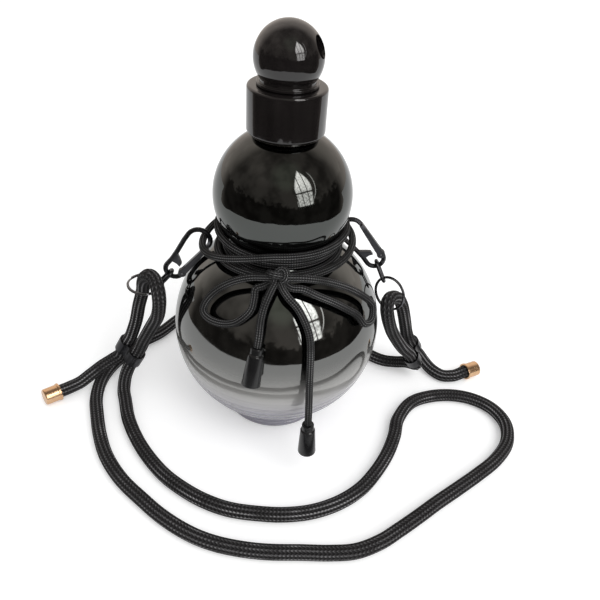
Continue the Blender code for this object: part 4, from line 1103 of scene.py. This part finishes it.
# %% The end caps
CAP_LENGTH = 0.0100
CAP_WALL = 0.0006
CAP_RING_HEIGHT = 0.0014
CAP_RING_RAISE = 0.0005
CAP_SOCKET = 0.0060
CAP_EDGES = (0.0, 0.0001, 0.0002, 0.0003, 0.0003, 0.0002, 0.0011, 0.0)
CAP_SEGMENTS = 96
TIP_ROWS = 6
SLIDE_CLEARANCE = 0.00045
cap_bore = STRAP_DIAMETER / 2 + SLIDE_CLEARANCE
cap_outer = cap_bore + CAP_WALL
cap_ring = cap_outer + CAP_RING_RAISE
cap_profile = rounded([
    (0.0, CAP_SOCKET), (cap_bore, CAP_SOCKET), (cap_bore, 0.0), (cap_ring, 0.0),
    (cap_ring, CAP_RING_HEIGHT), (cap_outer, CAP_RING_HEIGHT), (cap_outer, CAP_LENGTH),
    (0.0, CAP_LENGTH),
], CAP_EDGES)
caps = {}
for side, tip, inward in (("left", 0, TIP_ROWS), ("right", -1, -1 - TIP_ROWS)):
    away = unit(strap_line[tip] - strap_line[inward])
    mouth = strap_line[tip] - away * (CAP_SOCKET - CLEARANCE)
    piece = spun(f"cap_{side}", cap_profile, CAP_SEGMENTS, origin=mouth, axis=away)
    caps[side] = dress(piece, ROSE_GOLD, "rose_brass", f"strap_end_cap_{side}")

# %% [markdown]
# ## Clips, links, rings and sleeves
# All the hardware is plated dark. The clips and sleeves have an uneven satin face, polished by
# use in places. The links are bent wire. A split ring is two turns of thin wire side by side,
# so it is a coil whose sideways place steps from one turn to the next over a short part.

# %% Dark metals
def dark_metal(name, dark, light, rough, scale):
    """Plated metal, cast uneven, and lighter and smoother where a slow noise wears it."""
    look, shader, place = new_look(name)
    cast = place.noise(scale, 5.0)
    worn = place.noise(scale / 7, 2.0).between(0.52, 0.72)
    set_look(shader, Base_Color=worn.blend(dark, light), Metallic=0.95,
             Roughness=rough + cast * 0.14 - worn * 0.08, Normal=cast.bump(0.3, 0.00006))
    return look


GUNMETAL = dark_metal("gunmetal_plate", rough=0.24, scale=900.0,
                      dark=(0.055, 0.055, 0.060), light=(0.13, 0.13, 0.14))
RING_STEEL = dark_metal("ring_steel_wire", rough=0.16, scale=1200.0,
                        dark=(0.16, 0.16, 0.17), light=(0.30, 0.30, 0.31))
SLEEVE_METAL = dark_metal("sleeve_plate", rough=0.26, scale=700.0,
                          dark=(0.030, 0.030, 0.033), light=(0.08, 0.08, 0.085))
print("metals:", GUNMETAL.name, RING_STEEL.name, SLEEVE_METAL.name)

# %% The clips and sleeves
CLIP_BEVEL, PIN_BEVEL, SLEEVE_BEVEL = 0.00012, 0.0001, 0.00015
SIDES = ("left", "right")
for side in SIDES:
    kept(f"clip_frame_{side}", f"clip_wire_{side}", GUNMETAL, "gunmetal", CLIP_BEVEL)
    kept(f"clip_gate_{side}", f"gate_{side}", GUNMETAL, "gunmetal", CLIP_BEVEL, f"gate_{side}")
    kept(f"gate_pin_{side}", f"pin_{side}", RING_STEEL, "gunmetal", PIN_BEVEL)
sleeves = {
    side: kept(f"strap_sleeve_{side}", f"sleeve_{side}", SLEEVE_METAL, "dark_sleeve", SLEEVE_BEVEL)
    for side in SIDES
}

# %% The links and rings
LINK_WIRE = 0.0020
LINK_LENGTH = 0.0150
LINK_WIDTH = 0.0080
RING_WIRE = 0.0014
RING_DIAMETER = 0.021
RING_RADIUS = (RING_DIAMETER - RING_WIRE) / 2
COIL_TURNS = 2.0
COIL_GAP = 0.35
COIL_STEP = 0.45
COIL_SPREAD = 1.04
LINK_SAMPLES, COIL_SAMPLES = 120, 360
LINK_SEGMENTS, COIL_SEGMENTS = 24, 16
CLIP_EYE_RADIUS = 0.0052
LEFT_EYE = (-0.0590, 0.0, 0.0946)
RIGHT_EYE = (0.0550, 0.012, 0.1003)
LEFT_HANG = ((-0.670, -0.240, -0.700), (-0.990, 0.130, 0.060), (0.130, 0.990, -0.010))
RIGHT_HANG = ((0.400, -0.530, -0.750), (0.460, -0.530, -0.710), (0.580, -0.420, 0.700))
LEFT_SLACK, RIGHT_SLACK = 0.0013, CLEARANCE


def link_line(middle, across, down):
    """Oval: two half circles of the same bend, a straight run apart."""
    bend = (LINK_WIDTH - LINK_WIRE) / 2
    run = LINK_LENGTH / 2 - LINK_WIRE / 2 - bend
    t = np.linspace(0.0, TURN, LINK_SAMPLES, endpoint=False)
    lift = np.where(t < math.pi, run, -run)
    flat = np.column_stack([bend * np.cos(t), bend * np.sin(t) + lift])
    return middle + flat[:, :1] * across - flat[:, 1:] * down


def coil_line(middle, reach, through):
    """Middle + radius * (cos * reach + sin * through), plus a sideways step of one thin wire
    halfway along, from one side of the middle to the other."""
    whole = COIL_TURNS * TURN
    t = np.linspace(COIL_GAP, whole - COIL_GAP, COIL_SAMPLES)
    step = np.clip((t - whole / 2) / COIL_STEP, -1.0, 1.0)
    step = step * (1.5 - 0.5 * step**2) * RING_WIRE / 4 * COIL_SPREAD
    circle = np.cos(t)[:, None] * reach + np.sin(t)[:, None] * through
    return middle + RING_RADIUS * circle + step[:, None] * np.cross(reach, through)


def flat_wire(line, axis):
    """Oval section, thin along the coil's axis: a b / sqrt((a cos)^2 + (b sin)^2), with the
    angle measured from that axis."""
    _, start, above = (rows[0] for rows in carried(line))
    lean = math.atan2(axis @ above, axis @ start)
    wide, thin = RING_WIRE / 2, RING_WIRE / 4

    def radius(turn, along):
        """The same all along, so only the turn counts."""
        return wide * thin / np.hypot(wide * np.cos(turn - lean), thin * np.sin(turn - lean))
    return radius


for side, eye, hang, slack in (
    ("left", LEFT_EYE, LEFT_HANG, LEFT_SLACK), ("right", RIGHT_EYE, RIGHT_HANG, RIGHT_SLACK),
):
    down, reach, through = (unit(np.array(v, float)) for v in hang)
    around = np.array(eye) + unit(np.array([down[0], 0.0, down[2]])) * CLIP_EYE_RADIUS
    middle = around + down * (LINK_LENGTH - LINK_WIDTH) / 2
    across = square_to(down, np.array([0.0, 1.0, 0.0]))
    closed = link_line(middle, across, down)
    closed = np.vstack([closed, closed[:1]])
    rings, along = tube_rings(closed, lambda turn, way: LINK_WIRE / 2, LINK_SEGMENTS)
    piece = skin(f"link_{side}", rings[:-1], along[:-1], ring=True)
    dress(piece, GUNMETAL, "gunmetal", f"connector_link_{side}")
    bottom = middle + down * (LINK_LENGTH - LINK_WIRE) / 2
    inside_reach = RING_RADIUS - RING_WIRE / 2 - LINK_WIRE / 2 - slack
    through = square_to(reach, through)
    line = coil_line(bottom + reach * inside_reach, reach, through)
    section = flat_wire(line, np.cross(reach, through))
    rings, along = capped(*tube_rings(line, section, COIL_SEGMENTS))
    dress(skin(f"ring_{side}", rings, along), RING_STEEL, "ring_steel", f"split_ring_{side}")

# %% [markdown]
# ## What each cord is
# The model's users need to know which pieces are soft. For each free cord the length is
# printed, measured from the point where it leaves the object; its thickness and what is at
# its far end are passed in but not used.

# %% The cords' lengths
def declare(piece, line, diameter, far_end, lay, *with_pieces):
    """The cord leaves the object at its line's first point and is as long as that line."""
    print(f"{piece.name}: {length_of(line):.4f} m")


strap = {name: strap_line[cut] for name, cut in strap_cuts.items()}
declare(strap_pieces["strap_tail_left"], strap["strap_tail_left"][::-1], STRAP_DIAMETER, "fitting",
        "loose", caps["left"], sleeves["left"])
declare(strap_pieces["strap_tail_right"], strap["strap_tail_right"], STRAP_DIAMETER, "fitting",
        "loose", caps["right"], sleeves["right"])
declare(strap_pieces["strap_run"], strap["strap_run"], STRAP_DIAMETER, "object", "loose")
for node in ("bow_loop_left", "bow_loop_right"):
    declare(bow_pieces[node], bow_lines[node], CORD_DIAMETER, "object", "hanging")
for node, bell in (("bow_tail_left", bells["left"]), ("bow_tail_right", bells["right"])):
    declare(bow_pieces[node], bow_lines[node], CORD_DIAMETER, "fitting", "hanging", bell)

# %% [markdown]
# ## Floor, room and window
# Dark mirror glass shows its room more than itself: a white table in the lower half of each
# bulb, a dark room in the upper, and a tall window as a bright patch. So the floor is a white
# stage that a glossy ray sees only as far as a table reaches, the world is white to the camera
# and a dim room to a glossy ray, and a clear sheet that only glossy rays see carries an arch of
# light crossed by bars. An area lamp in its place and a wide, soft sun light the object.

# %% The floor
FLOOR_SIDE = 6.0
FLOOR_DROP = 0.0002
TABLE_REACH = 0.37
TABLE_WOBBLE = 0.16
TABLE_BEHIND, BEHIND = 1.5, (0.05, 0.65)
TABLE_PAINT, WHITE = (0.86, 0.86, 0.86), (1.0, 1.0, 1.0)
CAMERA_GLOW = 0.28


def table_white():
    """White paint, but clear to a glossy ray where sqrt(x^2 + y^2), with some noise on it, is
    past the table's reach. The reach grows on the way behind the bottle."""
    look, shader, place = new_look("table_white")
    x, y, _ = parts_of(place)
    glossy = place.node("LightPath", output="Is Glossy Ray")
    away = (x * x + y * y) ** 0.5 + (place.noise(4.0, 2.0) - 0.5) * TABLE_WOBBLE
    beyond = away > y.between(*BEHIND) * TABLE_BEHIND + TABLE_REACH
    set_look(shader, Base_Color=TABLE_PAINT, Roughness=0.9, Specular_IOR_Level=0.0)
    paint = Flow(look.node_tree, shader.outputs[0])
    glow = place.node("Emission", {"Color": WHITE, "Strength": CAMERA_GLOW})
    lifted = place.node("AddShader", {0: paint, 1: glow})
    seen = glossy.beside("Is Camera Ray")
    plain = place.node("MixShader", {0: seen, 1: paint, 2: lifted})
    return surface(look, glossy * beyond, plain, place.node("BsdfTransparent"))


def sheet(name, wide, high, look, level=0.0, **turned):
    """A flat stage: four corners half the width and half the height from its middle."""
    x, y = wide / 2, high / 2
    mesh = bpy.data.meshes.new(name)
    mesh.from_pydata([(-x, -y, level), (x, -y, level), (x, y, level), (-x, y, level)], [],
                     [(0, 1, 2, 3)])
    mesh.materials.append(look)
    made = put(name, mesh, **turned)
    return made


sheet("floor", FLOOR_SIDE, FLOOR_SIDE, table_white(), -FLOOR_DROP)
print("floor:", FLOOR_SIDE, "m, seen in the glass to", TABLE_REACH, "m")

# %% The room
AMBIENT = 0.68
THROUGH_GLASS = 0.9
HIGH_LIGHT = (0.10, -0.58, 0.81)
ROOM_TONE, HIGH_TONE = (1.0, 0.90, 0.82), (0.93, 0.95, 0.80)


def room_light(sight):
    """Two shares. The first is the light for a glossy ray: clouds, a lighter place high in front,
    another high on the left, all dimmed below a ragged edge near the horizon, and a bright wall
    behind the bottle. The second is the place high in front alone, which has its own tone."""
    x, y, z = parts_of(sight)
    clouds, ragged = sight.noise(2.6, 2.0), sight.noise(6.0, 4.0)
    high = (x * HIGH_LIGHT[0] + y * HIGH_LIGHT[1] + z * HIGH_LIGHT[2]).between(0.86, 0.985)
    share = clouds.between(0.35, 0.65) * 0.14 + high * 0.16 + 0.10
    share = share + (0.0 - x).between(0.2, 0.6) * z.between(0.45, 0.75) * 0.16
    share = share * ((z + (ragged - 0.5) * 0.7).between(0.10, 0.20) * 0.7 + 0.3)
    return share + y.between(0.15, 0.60) * 0.70, high


world = bpy.data.worlds.new("room")
bpy.context.scene.world = world
world.use_nodes = True
sight = Flow(world.node_tree).node("TexCoord", output="Generated")
dim, high_light = room_light(sight)
direct = sight.node("LightPath", output="Is Camera Ray")
glossy, through = direct.beside("Is Glossy Ray"), direct.beside("Is Transmission Ray")
others = through * THROUGH_GLASS + (1.0 - through) * AMBIENT
strength = direct + (1.0 - direct) * (glossy * dim + (1.0 - glossy) * others)
tone = glossy.blend(WHITE, high_light.blend(ROOM_TONE, HIGH_TONE))
background = world.node_tree.nodes["Background"].inputs
strength.into(background["Strength"])
tone.into(background["Color"])
print("room: ambient", AMBIENT)

# %% The window
WINDOW_AZIMUTH, WINDOW_ELEVATION = math.radians(37.5), math.radians(34.0)
WINDOW_DISTANCE = 1.6
WINDOW_RISE = 0.08
WINDOW_WIDTH, WINDOW_HEIGHT = 0.79, 1.60
WINDOW_GLOW, PANE_GLOW, PANE_TINT = 2.3, 8.5, (1.0, 0.98, 0.96)
ARCH_POWER = 1.5
PANES_ACROSS = 3
BAR, BAR_HEIGHT, BAR_LEAN = 0.045, -0.18, 0.10
LINE_OUT, LINE_BEND = 0.72, 0.5
SHEET_WIDTH, SHEET_HEIGHT = 1.6, 1.8
SUN_STRENGTH, SUN_SIZE = 1.0, math.radians(50.0)
SUN_TURN = (math.radians(38.0), 0.0, math.radians(40.0))


def arched_panes():
    """Light where the distance from the middle line is less than half the width times
    1 - (up / top) ** 1.5, crossed by upright bars and one level bar, and a thin line of light
    that bends away beside it."""
    look, _, place = new_look("arched_panes")
    u, v, _ = parts_of(place)
    rise = v.math("MAXIMUM", v, 0.0) / (WINDOW_HEIGHT / 2)
    half = (1.0 - rise**ARCH_POWER) * WINDOW_WIDTH / 2
    pane = (half - u.size()).between(-0.02, 0.07) * (v + WINDOW_HEIGHT / 2).between(0.0, 0.04)
    leaning = (u + v * BAR_LEAN) / (WINDOW_WIDTH / PANES_ACROSS)
    upright = leaning.off_middle().between(0.03, 0.10)
    level = (v - BAR_HEIGHT).size().between(BAR * 0.3, BAR)
    bright = place.noise(12.0, 6.0).between(0.3, 0.7) * 0.5 + v.between(-0.3, 0.3) * 0.40 + 0.20
    bright = bright * pane * upright * level
    beside = (u - WINDOW_WIDTH * LINE_OUT + v * v * LINE_BEND).size()
    line = (1.0 - beside.between(0.008, 0.03)) * (1.0 - v.size().between(0.4, 0.7))
    bright = bright + line * 0.35
    glow = place.node("Emission", {"Color": PANE_TINT, "Strength": bright * PANE_GLOW})
    return surface(look, bright.between(0.0, 0.2), place.node("BsdfTransparent"), glow)


toward = np.array([
    math.sin(WINDOW_AZIMUTH) * math.cos(WINDOW_ELEVATION),
    -math.cos(WINDOW_AZIMUTH) * math.cos(WINDOW_ELEVATION),
    math.sin(WINDOW_ELEVATION),
])
level = unit(np.cross([0.0, 0.0, 1.0], toward))
facing = (level, np.cross(toward, level), toward)
window_place = toward * WINDOW_DISTANCE + np.array([0.0, 0.0, WINDOW_RISE])
light = bpy.data.lights.new("window_light", "AREA")
light.shape = "RECTANGLE"
light.size, light.size_y = WINDOW_WIDTH, WINDOW_HEIGHT
light.energy = WINDOW_GLOW * math.pi * WINDOW_WIDTH * WINDOW_HEIGHT
lamp = put("window_light", light, facing, window_place)
lamp.visible_glossy = lamp.visible_camera = False
panes = sheet("window_sheet", SHEET_WIDTH, SHEET_HEIGHT, arched_panes(), axes=facing,
              place=window_place)
panes.visible_camera = panes.visible_diffuse = panes.visible_shadow = False
sun = put("daylight", bpy.data.lights.new("daylight", "SUN"))
sun.data.energy = SUN_STRENGTH
sun.data.angle = SUN_SIZE
sun.rotation_euler = SUN_TURN
sun.visible_glossy = False
print("window of", WINDOW_WIDTH, "by", WINDOW_HEIGHT, "m at radiance", WINDOW_GLOW)
